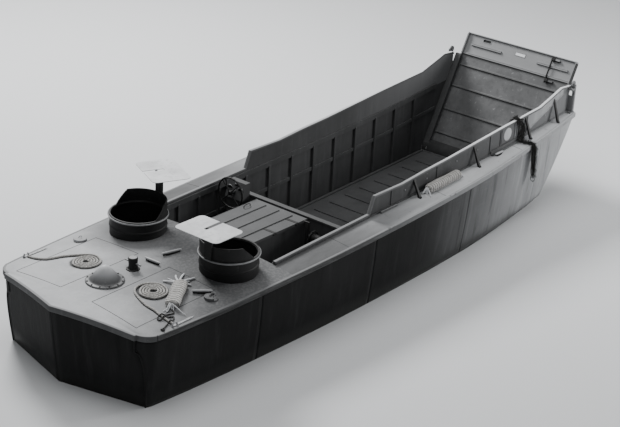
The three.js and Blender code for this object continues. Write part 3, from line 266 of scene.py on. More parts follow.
def both(forms):
    """The forms and their images on the other side of the boat."""
    return [*forms, *(form.mirrored() for form in forms)]


def joined(forms):
    faces, uv, start = [], [], 0
    for form in forms:
        faces += [block + start for block in form.faces]
        uv += form.uv
        start += len(form.points)
    return Form(np.concatenate([form.points for form in forms]), faces, uv)


def rings(points, around=True, along=False, start=None, end=None, size=(1.0, 1.0)):
    """Surface through rows of points. around joins each row's last point to its first, along the last row
    to the first, and start and end are points that close the first and last row by a fan."""
    rows, columns = points.shape[:2]
    i = np.arange(rows if along else rows - 1)[:, None]
    j = np.arange(columns if around else columns - 1)[None, :]
    i1, j1 = (i + 1) % rows, (j + 1) % columns
    i, j, i1, j1 = np.broadcast_arrays(i, j, i1, j1)
    quads = coords(i * columns + j, i * columns + j1, i1 * columns + j1, i1 * columns + j).reshape(-1, 4)
    v = coords(i, i, i + 1, i + 1) / max(rows - (0 if along else 1), 1) * size[1]
    u = coords(j, j + 1, j + 1, j) / (columns if around else columns - 1) * size[0]
    faces, uv = [quads], [coords(u, v).reshape(-1, 4, 2)]
    flat = points.reshape(-1, 3)
    ring = np.arange(columns)
    for pole, first, turn in ((start, 0, 1), (end, (rows - 1) * columns, -1)):
        if pole is None:
            continue
        tip = np.full(columns, len(flat))
        flat = np.vstack([flat, np.asarray(pole, float)[None]])
        fan = coords(first + (ring + 1) % columns, first + ring, tip)[:, ::turn]
        faces.append(fan)
        uv.append(np.zeros(fan.shape + (2,)) + (0, size[1] * (first > 0)))
    return Form(flat, faces, uv)


def sheet(x, y, z):
    """Open surface over the grid that its three coordinates make together."""
    return rings(coords(x, y, z), around=False)


def revolve(profile, centre=(0, 0, 0), sides=48, closed=False):
    """Profile of (radius, height) turned about the upright axis through centre. An end on the axis closes to a
    point, and a closed profile makes a ring."""
    profile = np.asarray(profile, float)
    start, end = (None if row[0] or closed else np.add(centre, (0, 0, row[1])) for row in profile[[0, -1]])
    rows = profile[profile[:, 0] > 0]
    points = circle(rows[:, :1], full_turn(sides), rows[:, 1:]) + centre
    return rings(points, along=closed, start=start, end=end)


def rounded(width, height, corner, steps=4):
    """Closed outline of a rectangle about the origin, each corner a quarter circle."""
    turn = np.linspace(0, math.pi / 2, steps)
    corners = []
    for k, (sx, sy) in enumerate(((1, 1), (-1, 1), (-1, -1), (1, -1))):
        a = turn + k * math.pi / 2
        corners.append(coords(sx * (width / 2 - corner) + corner * np.cos(a),
                              sy * (height / 2 - corner) + corner * np.sin(a)))
    return np.concatenate(corners)


def unit(v):
    return v / np.linalg.norm(v, axis=-1, keepdims=True)


def smooth_path(points, step):
    """Points at an even step along centripetal Catmull-Rom pieces through the given points."""
    p = np.asarray(points, float)
    p = np.vstack([2 * p[0] - p[1], p, 2 * p[-1] - p[-2]])
    knot = np.concatenate([[0], np.cumsum(np.linalg.norm(np.diff(p, axis=0), axis=1) ** 0.5)])
    k = [knot[n:len(knot) - 3 + n, None, None] for n in range(4)]
    line = [p[n:len(p) - 3 + n, None, :] for n in range(4)]
    t = k[1] + (k[2] - k[1]) * np.linspace(0, 1, 24, endpoint=False)[None, :, None]
    for span in (1, 2):
        line = [((k[n + span] - t) * line[n] + (t - k[n]) * line[n + 1]) / (k[n + span] - k[n])
                for n in range(4 - span)]
    fine = ((k[2] - t) * line[0] + (t - k[1]) * line[1]) / (k[2] - k[1])
    return even(np.vstack([fine.reshape(-1, p.shape[1]), p[-2]]), step)


def even(path, step):
    """The same path with points at an even spacing of about step."""
    s = np.concatenate([[0], np.cumsum(np.linalg.norm(np.diff(path, axis=0), axis=1))])
    at = np.linspace(0, s[-1], max(int(round(s[-1] / step)), 2) + 1)
    return coords(*(np.interp(at, s, column) for column in path.T))


def length_of(path):
    return float(np.linalg.norm(np.diff(path, axis=0), axis=1).sum())


def tube(path, radius, sides=12, side=UP):
    """Tube about a path. radius is a number, one for each point, or one for each point and side. side is a
    direction the path never takes, from which the turn round the path is counted."""
    path = np.asarray(path, float)
    ahead = unit(np.gradient(path, axis=0))
    out = unit(np.cross(ahead, np.asarray(side, float)))
    up = np.cross(out, ahead)
    turn = full_turn(sides)
    r = np.asarray(radius, float)
    r = np.broadcast_to(r[:, None] if r.ndim == 1 else r, (len(path), sides))[..., None]
    ring = np.cos(turn)[None, :, None] * out[:, None, :] + np.sin(turn)[None, :, None] * up[:, None, :]
    return rings(path[:, None, :] + r * ring, start=path[0], end=path[-1], size=(1.0, length_of(path)))


def laid_rope(path, radius, side=UP):
    """Three-strand rope: a tube whose radius has three rounded lobes that turn once in LAY diameters, and
    closes to a dome over its last radius."""
    s = np.linspace(0, length_of(path), len(path))[:, None]
    turn = full_turn(ROPE_SIDES)[None, :]
    lobe = np.abs(np.cos(1.5 * (turn - 2 * math.pi * s / (LAY * 2 * radius))))
    to_end = np.clip(np.minimum(s, s[-1] - s) / radius, 0, 1)
    r = radius * (0.84 + 0.18 * lobe ** 0.7) * np.sqrt(np.maximum(1 - (1 - to_end) ** 2, 0.04))
    return tube(path, r, ROPE_SIDES, side)


def sweep(section, path, side=ASIDE, up=UP):
    """Closed section of (a, b) carried along a path: a along side, b along up, and flat ends."""
    section = np.asarray(section, float)
    side, up = side[..., None, :], up[..., None, :]
    form = rings(path[:, None] + section[None, :, :1] * side + section[None, :, 1:] * up)
    ring = np.arange(len(section))[None]
    return Form(form.points, [*form.faces, ring[:, ::-1], ring + (len(path) - 1) * len(section)], form.uv)


def boxes(rows):
    """Boxes from rows of three low and three high values."""
    rows = np.asarray(rows, float)
    pick = np.array([(0, 1, 2), (3, 1, 2), (3, 4, 2), (0, 4, 2), (0, 1, 5), (3, 1, 5), (3, 4, 5), (0, 4, 5)])
    sides = np.array([(3, 2, 1, 0), (4, 5, 6, 7), (0, 1, 5, 4), (1, 2, 6, 5), (2, 3, 7, 6), (3, 0, 4, 7)])
    faces = (sides[None] + 8 * np.arange(len(rows))[:, None, None]).reshape(-1, 4)
    return Form(rows[:, pick], [faces])


def prism(outline, axis, low, high):
    """Outline carried straight along an axis: (y, z) along X, (x, z) along Y and (x, y) along Z."""
    outline = np.asarray(outline, float)
    count = len(outline)
    ring = [np.insert(outline, axis, level, axis=1) for level in (low, high)]
    k = np.arange(count)
    quads = coords(k, (k + 1) % count, (k + 1) % count + count, k + count)
    return Form(np.concatenate(ring), [quads, k[None, ::-1], k[None] + count])


def bar(a, b, radius, sides=12):
    """Round bar between two points, with flat ends."""
    path = np.array([a, b], float)
    return tube(path, radius, sides, UP if abs(unit(path[1] - path[0])[2]) < 0.9 else ALONG)


def frames_along(normals):
    """For each normal, the three axes of a frame whose third axis is that normal."""
    n = unit(np.asarray(normals, float))
    guide = np.where(np.abs(n[:, :1]) > 0.9, (0.0, 1.0, 0.0), (1.0, 0.0, 0.0))
    a = unit(np.cross(guide, n))
    return coords(a, np.cross(n, a), n)


def copies(form, points):
    """A form's faces repeated for each set of its points."""
    shift = len(form.points) * np.arange(len(points))[:, None, None]
    faces = [(block[None] + shift).reshape(-1, block.shape[1]) for block in form.faces]
    return Form(points, faces, [np.tile(block, (len(points), 1, 1)) for block in form.uv])


def place_at(spot, axis, degrees):
    """Matrix that turns about an axis, then moves to a spot."""
    return Matrix.Translation(spot) @ Matrix.Rotation(math.radians(degrees), 4, axis)


def studs(origins, normals=UP, radius=0.009, height=0.005, sides=8):
    """Low rounded heads of bolts, standing on the origins along the normals."""
    origins = np.atleast_2d(np.asarray(origins, float))
    axes = frames_along(np.broadcast_to(np.asarray(normals, float), origins.shape))
    profile = [(0, -height), (radius, -height), (radius, 0.45 * height), (0.62 * radius, height), (0, height)]
    head = revolve(profile, sides=sides)
    return copies(head, np.einsum("kij,nj->kni", axes, head.points) + origins[:, None, :])


def piece(name, forms, finish, slot, body="hull", stands_for=(), place=None, bevel=0.0, shell=0.0, crease=38):
    """Mesh object from forms. place moves them, shell gives an open surface its thickness inwards, and bevel
    rounds the edges."""
    form = joined(forms) if isinstance(forms, (list, tuple)) else forms
    if place is not None:
        form = form.moved(place)
    mesh = bpy.data.meshes.new(name)
    mesh.from_pydata(form.points.tolist(), [], [face for block in form.faces for face in block.tolist()])
    uv = mesh.uv_layers.new(name="UVMap")
    uv.data.foreach_set("uv", np.concatenate([block.reshape(-1) for block in form.uv]).astype(np.float32))
    if not shell:
        shape = bmesh.new()
        shape.from_mesh(mesh)
        bmesh.ops.recalc_face_normals(shape, faces=shape.faces)
        shape.to_mesh(mesh)
        shape.free()
    mesh.shade_smooth()
    mesh.set_sharp_from_angle(angle=math.radians(crease))
    mesh.materials.append(finish)
    obj = linked(name, mesh)
    if shell:
        wall = obj.modifiers.new("wall", "SOLIDIFY")
        wall.thickness = shell
        wall.offset = -1
    if bevel:
        edge = obj.modifiers.new("edge", "BEVEL")
        edge.width = bevel
        edge.segments = 2
        edge.limit_method = "ANGLE"
        edge.angle_limit = math.radians(crease)
        edge.harden_normals = True
    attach(obj, body)
    if stands_for:
        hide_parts(*stands_for)
    return obj


def linked(name, data):
    """New object in the scene."""
    obj = bpy.data.objects.new(name, data)
    bpy.context.scene.collection.objects.link(obj)
    return obj


# Materials: a socket with arithmetic, and a few methods that add nodes

class Wire:
    """A value in a material. Arithmetic on it adds Math nodes."""

    def __init__(self, finish, socket):
        self.finish = finish
        self.socket = socket

    def math(self, operation, *values):
        return self.finish.node("ShaderNodeMath", {"operation": operation}, dict(enumerate(values)))

    def __add__(self, other):
        return self.math("ADD", self, other)

    def __sub__(self, other):
        return self.math("SUBTRACT", self, other)

    def __rsub__(self, other):
        return self.math("SUBTRACT", other, self)

    def __mul__(self, other):
        return self.math("MULTIPLY", self, other)

    def __truediv__(self, other):
        return self.math("DIVIDE", self, other)

    def __mod__(self, other):
        return self.math("MODULO", self, other)

    def __pow__(self, other):
        return self.math("POWER", self, other)

    def __abs__(self):
        return self.math("ABSOLUTE", self)

    __radd__ = __add__
    __rmul__ = __mul__


class Finish:
    """A material being made, on its Principled shader."""

    def __init__(self, name, shine=0.5, **more):
        self.material = bpy.data.materials.new(name)
        self.material.use_nodes = True
        self.tree = self.material.node_tree
        self.shader = self.tree.nodes["Principled BSDF"]
        for socket, value in {"Specular IOR Level": shine, **more}.items():
            self.shader.inputs[socket].default_value = value

    def node(self, kind, settings=None, sockets=None, out=0):
        """Add a node: its settings first, then its sockets' values or links."""
        node = self.tree.nodes.new(kind)
        for setting, value in (settings or {}).items():
            setattr(node, setting, value)
        for socket, value in (sockets or {}).items():
            self.put(node.inputs[socket], value)
        return Wire(self, node.outputs[out])

    def put(self, socket, value):
        if isinstance(value, Wire):
            self.tree.links.new(value.socket, socket)
        elif np.ndim(value) and len(value) == 3 and len(getattr(socket, "default_value", (0, 0, 0))) == 4:
            socket.default_value = (*value, 1)
        else:
            socket.default_value = value

    def at(self, scale=1, pattern="Object"):
        """Coordinates of the surface in the boat's frame, or its own pattern's, scaled along each axis."""
        where = self.node("ShaderNodeTexCoord", out=["Generated", "Normal", "UV", "Object"].index(pattern))
        scale = tuple(np.broadcast_to(scale, 3))
        return self.node("ShaderNodeMapping", None, {"Vector": where, "Scale": scale})

    def parts(self, pattern="Object"):
        split = self.node("ShaderNodeSeparateXYZ", None, {0: self.at(pattern=pattern)}).socket.node
        return [Wire(self, split.outputs[k]) for k in range(3)]

    def noise(self, scale, detail=4.0, rough=0.55, where=None):
        """Noise with so many features to a metre, or that many along each axis."""
        sockets = {"Vector": where or self.at(scale), "Scale": 1.0, "Detail": detail, "Roughness": rough}
        return self.node("ShaderNodeTexNoise", {"normalize": True}, sockets)

    def rise(self, value, low, high, start=0.0, end=1.0):
        """A smooth step from start to end as the value goes from low to high."""
        return self.node("ShaderNodeMapRange", {"interpolation_type": "SMOOTHSTEP"},
                         {0: value, 1: low, 2: high, 3: start, 4: end})

    def mix(self, share, a, b):
        return self.node("ShaderNodeMix", {"data_type": "RGBA"}, {0: share, 6: a, 7: b}, out=2)

    def layer(self, base, colour, value, low, high, end=1.0, start=0.0):
        """The base under a colour that covers it by start to end as the value goes from low to high."""
        return self.mix(self.rise(value, low, high, start, end), base, colour)

    def bump(self, height, depth, strength=1.0, below=None):
        sockets = {"Height": height, "Distance": depth, "Strength": strength}
        if below is not None:
            sockets["Normal"] = below
        return self.node("ShaderNodeBump", None, sockets)

    def done(self, colour, roughness, normal=None, **more):
        for socket, value in {"Base Color": colour, "Roughness": roughness, "Normal": normal, **more}.items():
            if value is not None:
                self.put(self.shader.inputs[socket], value)
        return self.material


def times(factor, colour):
    return tuple(factor * part for part in colour)


def grey(level, tint=(0.985, 1.0, 1.02)):
    """A grey of the given level, a little cool."""
    return times(level, tint)


def side_paint():
    """Topsides: painted shade takes them to near-black at the stern and painted light lifts them to mid-grey
    at the bow, with runs, scuffs under the rail and a wet band above the waterline."""
    f = Finish("side_paint", 0.12)
    x, _, z = f.parts()
    # Painted shade and light: the tone runs from near-black aft to mid-grey forward.
    forward = f.rise(x, 0.2, 5.4)

    def shade_fading(aft, fore):
        return f.mix(forward, grey(aft), grey(fore))

    cloud = f.noise(0.9, 5, 0.6)
    runs = f.noise((7, 7, 0.55), 6, 0.62)
    fine = f.noise((60, 60, 9), 3)
    scuff = f.rise(f.noise((2.2, 2.2, 14), 6, 0.7), 0.56, 0.72) * f.rise(z, 0.55, 1.05)
    base = f.layer(shade_fading(0.008, 0.34), shade_fading(0.02, 0.5), cloud, 0.3, 0.75, 0.5)
    base = f.layer(base, shade_fading(0.03, 0.62), runs, 0.5, 0.75, 0.55)
    base = f.layer(base, shade_fading(0.004, 0.14), runs, 0.28, 0.45, 0, 0.6)
    base = f.mix(scuff * forward * 0.6, base, grey(0.34))
    wet = f.rise(z + 0.14 * runs, 0.34, 0.1)
    base = f.mix(wet * 0.75, base, grey(0.02, (1.0, 1.02, 0.95)))
    return f.done(base, 0.62 - 0.28 * wet + 0.15 * (fine - 0.5), f.bump(cloud, 0.01, 0.5, f.bump(fine, 0.0015)))


def rail_paint():
    """Guard rail: painted shade from black aft to grey forward, painted light on its upward faces, with long
    rubs and knocks.
    """
    f = Finish("rail_paint", 0.35)
    rub = f.noise((3, 5, 26), 6, 0.65)
    knock = f.noise(9, 5, 0.7)
    # Painted shade aft and painted light forward.
    forward = f.rise(f.parts()[0], -2.0, 3.6)
    base = f.layer(grey(0.02), grey(0.07), rub, 0.35, 0.68)
    base = f.mix(forward * 0.85, base, grey(0.36))
    # Painted light: faces that look up are lighter.
    base = f.layer(base, f.mix(forward, grey(0.16), grey(0.45)), f.parts("Normal")[2], 0.35, 0.8)
    base = f.layer(base, grey(0.03), knock, 0.6, 0.7, 0.7)
    return f.done(base, 0.7 - 0.2 * rub, f.bump(rub * 0.6 + knock * 0.4, 0.004))


def deck_finish(name, light, dark, tubs=True):
    """Worn light paint on plywood: clouds, footmarks and drying streaks. With tubs, it has painted shade round
    the tubs and under the coils, and it darkens towards the tubs and to starboard."""
    f = Finish(name, 0.25)
    x, y, _ = f.parts()
    cloud, blotch, spots = f.noise(1.3, 6, 0.62), f.noise(6.5, 5, 0.66), f.noise(27.0, 3, 0.5)
    grain, grit = f.noise((14, 170, 90), 3, 0.5), f.noise(420.0, 2, 0.5)
    base = f.layer(light, times(0.78, light), cloud, 0.28, 0.72)
    base = f.layer(base, times(1.22, light), blotch, 0.5, 0.78, 0.45)
    base = f.layer(base, dark, blotch, 0.22, 0.4, 0, 0.5)
    base = f.layer(base, dark, spots, 0.68, 0.76, 0.35)
    if tubs:
        # Painted shade round the foot of each tub.
        far = ((x - TUB_X) ** 2 + (abs(y) - TUB_Y) ** 2) ** 0.5 + 0.35 * (blotch - 0.5)
        # Darker towards the tubs and to starboard, with darker spots there.
        fore_starboard_darkening = f.rise(x + 0.5 * (cloud - 0.5) + 0.4 * (blotch - 0.5) - 0.7 * y, -4.85, -3.05)
        base = f.mix(fore_starboard_darkening * 0.94, base, times(0.45, dark))
        base = f.layer(base, times(0.4, dark), far, 1.0, 0.42, 0.6)
        base = f.mix(fore_starboard_darkening * f.rise(spots, 0.45, 0.6) * 0.3, base, dark)
        # Painted shade under and round each coil, so the gaps between its turns look dark.
        for cx, cy in COILS.values():
            far = ((x - cx) ** 2 + (y - cy) ** 2) ** 0.5 + 0.05 * (blotch - 0.5)
            base = f.layer(base, grey(0.02), far, 0.245, 0.205, 0.93)
    base = f.layer(base, dark, grain, 0.55, 0.8, 0.18)
    bump = f.bump(grain, 0.0008, 0.5, f.bump(grit, 0.0006, 0.6))
    return f.done(base, 0.72 + 0.2 * (blotch - 0.5), f.bump(cloud, 0.006, 0.4, bump))


def side_deck_finish():
    """Side decks: painted shade darkens them aft and along the coaming's foot, and painted light lifts them
    towards the bow.
    """
    f = Finish("side_deck_paint", 0.3)
    x, y, _ = f.parts()
    cloud, blotch = f.noise(1.6 * np.array((0.6, 2, 2)), 6, 0.65), f.noise(8.0, 5, 0.66)
    grit = f.noise(380.0, 2)
    # Painted shade aft and painted light towards the bow.
    forward = f.rise(x, -1.6, 2.4)

    def shade_fading(aft, fore):
        return f.mix(forward, grey(aft), grey(fore))

    base = f.layer(shade_fading(0.075, 0.52), shade_fading(0.13, 0.66), cloud, 0.35, 0.7, 0.6)
    base = f.layer(base, shade_fading(0.05, 0.3), blotch, 0.25, 0.42, 0, 0.6)
    # Painted shade along the coaming's foot.
    base = f.layer(base, shade_fading(0.05, 0.2), abs(y), 1.34, 1.26, 0.5)
    return f.done(base, 0.68 + 0.25 * (blotch - 0.5), f.bump(grit, 0.0006, 0.6, f.bump(cloud, 0.005, 0.4)))


def wall_paint(name, level, worn, streaks=0.6, painted_bow_light=0.0, top=0.0):
    """Matt paint on plywood walls: clouds and runs down from the top. Its last two arguments give how much
    painted light lifts it towards the bow, and the tone of painted light on the faces that look up."""
    f = Finish(name, 0.3)
    cloud, runs = f.noise(1.6, 6, 0.62), f.noise((9, 9, 0.8), 6, 0.65)
    chips, grain = f.noise(34.0, 4, 0.6), f.noise((4, 4, 70), 3)
    base = f.layer(grey(level), grey(0.75 * level), cloud, 0.3, 0.7)
    base = f.layer(base, grey(1.5 * level), runs, 0.5, 0.8, streaks)
    base = f.layer(base, grey(0.45 * level), runs, 0.26, 0.44, 0, streaks)
    base = f.layer(base, grey(worn), chips, 0.68, 0.74, 0.6)
    # Painted light towards the bow.
    if painted_bow_light:
        base = f.layer(base, grey(worn), f.parts()[0] + 0.8 * (cloud - 0.5), 1.6, 5.2, painted_bow_light)
    # Painted light on faces that look up, lighter forward.
    if top:
        above = f.layer(grey(0.3 * top), grey(top), f.parts()[0], -0.5, 3.6)
        base = f.layer(base, above, f.parts("Normal")[2], 0.45, 0.8)
    return f.done(base, 0.66 + 0.2 * (cloud - 0.5), f.bump(grain, 0.0012, 0.6, f.bump(cloud, 0.006, 0.4)))


def steel_finish(name, level, worn, wear=0.6, rough=0.5, rise=None):
    """Painted steel plate: slight dents, chipped spots and rubbed patches. rise gives two heights and the tone
    that
    the paint takes above the second: painted light on the vent's upper part, a lighter upper band on the ramp."""
    f = Finish(name, 0.4)
    cloud, rubbed, fine = f.noise(2.2, 6, 0.62), f.noise(11.0, 6, 0.7), f.noise(130.0, 3)
    base = f.layer(grey(level), grey(0.72 * level), cloud, 0.3, 0.7)
    base = f.layer(base, grey(0.5 * level), rubbed, 0.36, 0.5, 0, 0.4)
    # Lighter above the second height; on the vent this is painted light.
    if rise:
        low, high, tone = rise
        base = f.layer(base, grey(tone), f.parts()[2] + 0.05 * (cloud - 0.5), low, high, 0.9)
    base = f.layer(base, grey(worn), rubbed + 0.15 * (fine - 0.5), 0.6, 0.7, wear)
    return f.done(base, rough + 0.25 * (rubbed - 0.5), f.bump(fine, 0.0005, 0.5, f.bump(cloud, 0.008, 0.45)))


def rope_finish(name, light, dark, pitch=0.132):
    """Laid rope: yarns that follow its three strands, painted shade in the grooves, fuzzy and dirty in patches.
    """
    f = Finish(name, 0.15, **{"Sheen Weight": 0.25})
    u, v, _ = f.parts("UV")
    turn = (u - v / pitch) * 3.0
    yarn = f.noise(1, 3, 0.5, f.node("ShaderNodeCombineXYZ", None, {0: turn * 9.0, 1: v * 30.0}))
    groove = abs(((turn + 0.5).math("FRACT", turn + 0.5) - 0.5) * 2.0)
    base = f.layer(dark, light, yarn, 0.3, 0.7)
    # Painted shade in the grooves between strands.
    base = f.layer(base, times(0.35, dark), groove, 0.78, 1.0, 0.7)
    base = f.layer(base, dark, f.noise(9.0, 4, 0.6), 0.52, 0.7, 0.6)
    return f.done(base, 0.93, f.bump(yarn, 0.0012))


def woven_finish(name, light, dark):
    """Bleached rope of the fenders, dirty in patches, with fibres, and painted shade in the grooves between its
    rows of loops.
    """
    f = Finish(name, 0.15, **{"Sheen Weight": 0.3})
    fibre = f.noise(260.0, 3, 0.6)
    base = f.layer(dark, light, fibre, 0.3, 0.7)
    base = f.layer(base, times(0.6, dark), f.noise(14.0, 5, 0.65), 0.5, 0.72, 0.7)
    u, v, _ = f.parts("UV")
    row = v * (math.pi / FENDER_RIB) + abs(u * 6 % 2.0 - 1) * 1.3
    # Painted shade in the grooves between rows of loops.
    base = f.layer(base, times(0.16, dark), abs(row.math("SINE", row)), 0.5, 0.12, 0.85)
    return f.done(base, 0.95, f.bump(fibre, 0.0012))


def bronze_finish():
    """Cast bronze: cloudy brown with polished high spots."""
    f = Finish("bronze_cast", Metallic=1.0)
    cloud = f.noise(7.0, 5, 0.6)
    base = f.layer((0.3, 0.2, 0.09), (0.46, 0.32, 0.15), cloud, 0.3, 0.7)
    return f.done(base, 0.42 + 0.3 * (cloud - 0.5), f.bump(f.noise(90.0, 3), 0.0006))


def plain_finish(name, level, rough=0.8, spread=0.3):
    """Plain surface with a little cloud in its tone."""
    f = Finish(name, 0.3)
    cloud = f.noise(5.0, 5, 0.6)
    base = f.layer(grey(level), grey(level * (1 - spread)), cloud, 0.3, 0.7)
    return f.done(base, rough, f.bump(cloud, 0.003, 0.5))


WARM, TARRED = (1.02, 1.0, 0.96), (1.03, 1, 0.95)
# Topsides, guard rail and side decks: painted shade aft and painted light forward.
SIDE = side_paint()
RAIL = rail_paint()
# Painted shade round the tubs and under the coils.
DECK = deck_finish("deck_paint", grey(0.47), grey(0.21))
SIDE_DECK = side_deck_finish()
# Painted light lifts the coaming towards the bow.
COAMING = wall_paint("coaming_paint", 0.08, 0.34, painted_bow_light=0.4)
INSIDE = wall_paint("inside_paint", 0.075, 0.2)
BOARDS = wall_paint("board_paint", 0.09, 0.22, 0.3)
LID_PAINT = deck_finish("lid_paint", grey(0.1), grey(0.045), tubs=False)
STEEL = steel_finish("steel_paint", 0.2, 0.36)
RAMP_STEEL = steel_finish("ramp_paint", 0.15, 0.36, rise=(1.92, 1.935, 0.3))
SLOT_LIGHT = plain_finish("slot_light", 0.9, 0.5, 0.08)
SHIELD = steel_finish("shield_paint", 0.68, 0.45, 0.3, 0.5)
DARK = steel_finish("dark_steel", 0.006, 0.09, 0.3, 0.6)
# Paler worn steel; on the ramp's rib edges, a painted highlight.
HORN = steel_finish("horn_wear_and_highlight", 0.42, 0.2, 0.5, 0.45)
# Pale steel; on the tubs' rims, a painted highlight.
RIM = steel_finish("rim_steel_and_highlight", 0.3, 0.5, 0.6, 0.45)
BOTTOM = wall_paint("bottom_paint", 0.035, 0.09, 0.3)
ROPE = rope_finish("line_rope", grey(0.56, WARM), grey(0.16, WARM))
DARK_ROPE = rope_finish("tarred_rope", grey(0.035, TARRED), grey(0.012, TARRED), pitch=0.165)
WOVEN = woven_finish("woven_rope", grey(0.62, WARM), grey(0.3, WARM))
STRAND = plain_finish("strand_rope", 0.8, 0.95, 0.35)
BRONZE = bronze_finish()
SEAM = plain_finish("seam_dark", 0.05)
# Stern rail and cap: painted light on their upward faces.
STERN_RAIL = wall_paint("stern_rail_paint", 0.1, 0.25, top=0.7)
CAP = wall_paint("cap_paint", 0.14, 0.4, 0.3, top=0.66)
COAMING_LIGHT = wall_paint("coaming_light_paint", 0.36, 0.55)
DISC = wall_paint("disc_paint", 0.55, 0.3, 0.3)
CANVAS = plain_finish("flap_canvas", 0.05, 0.9)
# Painted light on the vent's upper part.
VENT_PAINT = steel_finish("vent_paint", 0.13, 0.3, 0.5, 0.5, rise=(1.22, 1.4, 0.5))

# Finish of each CAD node that stays in sight, without the side where there is one on each
PAIR_FINISH = {
    INSIDE: "hull_side", SIDE_DECK: "side_deck", RAIL: "rub_rail", COAMING: "coaming",
    STEEL: "bow_post hoisting_pad",
    SHIELD: "gun_shield", DARK: "gun_tub gun_carriage cleat_bow chock",
}
NODE_FINISH = {
    INSIDE: "hull_stern hull_tub_bay hull_bottom well_bulkhead steering_console engine_box", DECK: "aft_deck",
    RAIL: "rub_rail_transom", STEEL: "headlog winch_stand", RAMP_STEEL: "bow_ramp", BOARDS: "well_floor",
    LID_PAINT: "engine_box_lid", BOTTOM: "keel_and_skeg", BRONZE: "propeller",
    HORN: "vent_dome chafing_rope_eye",
    DARK: "engine steering_wheel winch_drum rudder mooring_bitt cleat_aft_centre cleat_fore_centre "
          "cleat_quarter_starboard",
}


def dress_nodes():
    alone = [(finish, name) for finish, names in NODE_FINISH.items() for name in names.split()]
    pairs = [(finish, name + "_" + side) for finish, names in PAIR_FINISH.items() for name in names.split()
             for side, _ in SIDES]
    for finish, name in alone + pairs:
        mesh = bpy.data.objects[name].data
        if not mesh.materials:
            mesh.materials.append(finish)
        for k in range(len(mesh.materials)):
            mesh.materials[k] = finish


# Camera, light and floor

def camera():
    az, el, roll = (math.radians(CAMERA[key]) for key in ("azimuth", "elevation", "roll"))
    ahead = Vector((math.cos(el) * math.cos(az), math.cos(el) * math.sin(az), -math.sin(el)))
    level = Vector((math.sin(az), -math.cos(az), 0))
    above = level.cross(ahead)
    right = math.cos(roll) * level + math.sin(roll) * above
    up = -math.sin(roll) * level + math.cos(roll) * above
    turn = Matrix((right, up, -ahead)).transposed().to_4x4()
    data = bpy.data.cameras.new("camera")
    data.lens = CAMERA["lens"]
    data.sensor_width = 36
    data.clip_end = 300
    obj = linked("camera", data)
    obj.matrix_world = Matrix.Translation(CAMERA["eye"]) @ turn
    bpy.context.scene.camera = obj


def light(name, place, aim, size, power):
    data = bpy.data.lights.new(name, "AREA")
    data.shape = "DISK"
    data.size = size
    data.energy = power
    towards = Vector(aim) - Vector(place)
    linked(name, data).matrix_world = (
        Matrix.Translation(place) @ towards.to_track_quat("-Z", "Y").to_matrix().to_4x4())


def lighting():
    light("key", (4.0, 14.0, 15.0), (0.0, 0.0, 0.8), 7.0, 5600)
    light("sky", (-3.0, 0.0, 18.0), (0.0, 0.0, 0.0), 14.0, 1700)
    light("bow", (13.5, -10.0, 6.5), (5.0, -1.5, 1.0), 5.0, 1500)
    world = bpy.data.worlds.new("world")
    world.use_nodes = True
    sky = world.node_tree.nodes["Background"].inputs
    sky["Color"].default_value = (0.86, 0.88, 0.9, 1)
    sky["Strength"].default_value = 0.25
    bpy.context.scene.world = world


def waterline():
    """Port outline of the hull at height 0 as x and y, from the transom to where the keel comes up: at each x
    the section's outermost crossing of that height, drawn in a little."""
    inset = 0.012
    x = np.linspace(-5.3, 4.3, 97)
    share = np.linspace(0, 1, 201)[:, None]
    side_y, side_z = side_at(x[None], 1 - share)
    floor_y, floor_z = bottom_at(x[None], share)
    y = np.vstack([floor_y, side_y])
    z = np.vstack([floor_z, side_z])
    under = z <= 0
    half = np.max(np.where(under, y, 0), axis=0) - inset
    keep = (half > 0.02) & (x > transom_x(half, 0) + inset)
    x, half = x[keep], half[keep]
    apex = transom_x(0, 0) + inset
    corner = transom_x(half[0], 0) + inset
    return np.concatenate([[apex, corner], x, [x[-1] + 0.02]]), np.concatenate([[0, half[0]], half, [0]])


def floor():
    """Pale plain floor at the waterline, with an opening where the hull goes through it: rings that grow from
    the hull's outline to a wide circle."""
    x, y = waterline()
    outline = np.concatenate([coords(x, y), coords(x, -y)[-2:0:-1]])
    wide = circle(FLOOR_REACH, np.arctan2(outline[:, 1], outline[:, 0]))
    share = np.array([0, 0.01, 0.05, 0.2, 1])[:, None, None]
    plan = outline * (1 - share) + wide * share
    form = rings(coords(plan[..., 0], plan[..., 1], 0.0)[::-1])
    mesh = bpy.data.meshes.new("floor")
    mesh.from_pydata(form.points.tolist(), [], form.faces[0].tolist())
    mesh.materials.append(Finish("floor", 0.1).done((0.66, 0.67, 0.68), 0.9))
    obj = linked("floor", mesh)


# Cords

def mooring_line(side):
    """One rope: from the chock along its lead, then round and round inwards as a flat spiral whose turns lie a
    diameter apart, its radius swelling and shrinking a little with the heading."""
    x0, y0 = COILS[side]
    lead = np.array(LEADS[side][::-1])
    start = lead[-1] - (x0, y0)
    radius, angle = np.hypot(*start), math.atan2(start[1], start[0])
    turns = (COIL_OUTER - COIL_INNER) / COIL_PITCH
    spin = np.arange(1, int(turns * 48)) / 48
    settled = np.exp(-spin / 0.16)
    heading = angle - 2 * math.pi * spin
    reach = COIL_OUTER - COIL_PITCH * spin + (radius - COIL_OUTER) * settled
    reach = reach + (0.0045 * np.sin(2 * heading + 0.6) + 0.0025 * np.sin(5 * heading)) * (1 - settled)
    coil = coords(x0 + reach * np.cos(heading), y0 + reach * np.sin(heading))
    flat = np.concatenate([lead, coil])
    height = deck_top(flat[:, 0], flat[:, 1]) + LINE_LIFT
    path = smooth_path(np.column_stack([flat, height]), 0.0055)
    rope = piece("mooring_line_" + side, laid_rope(path, LINE_RADIUS), ROPE, "rope",
                 stands_for=("line_coil_" + side, "line_lead_" + side), crease=80)


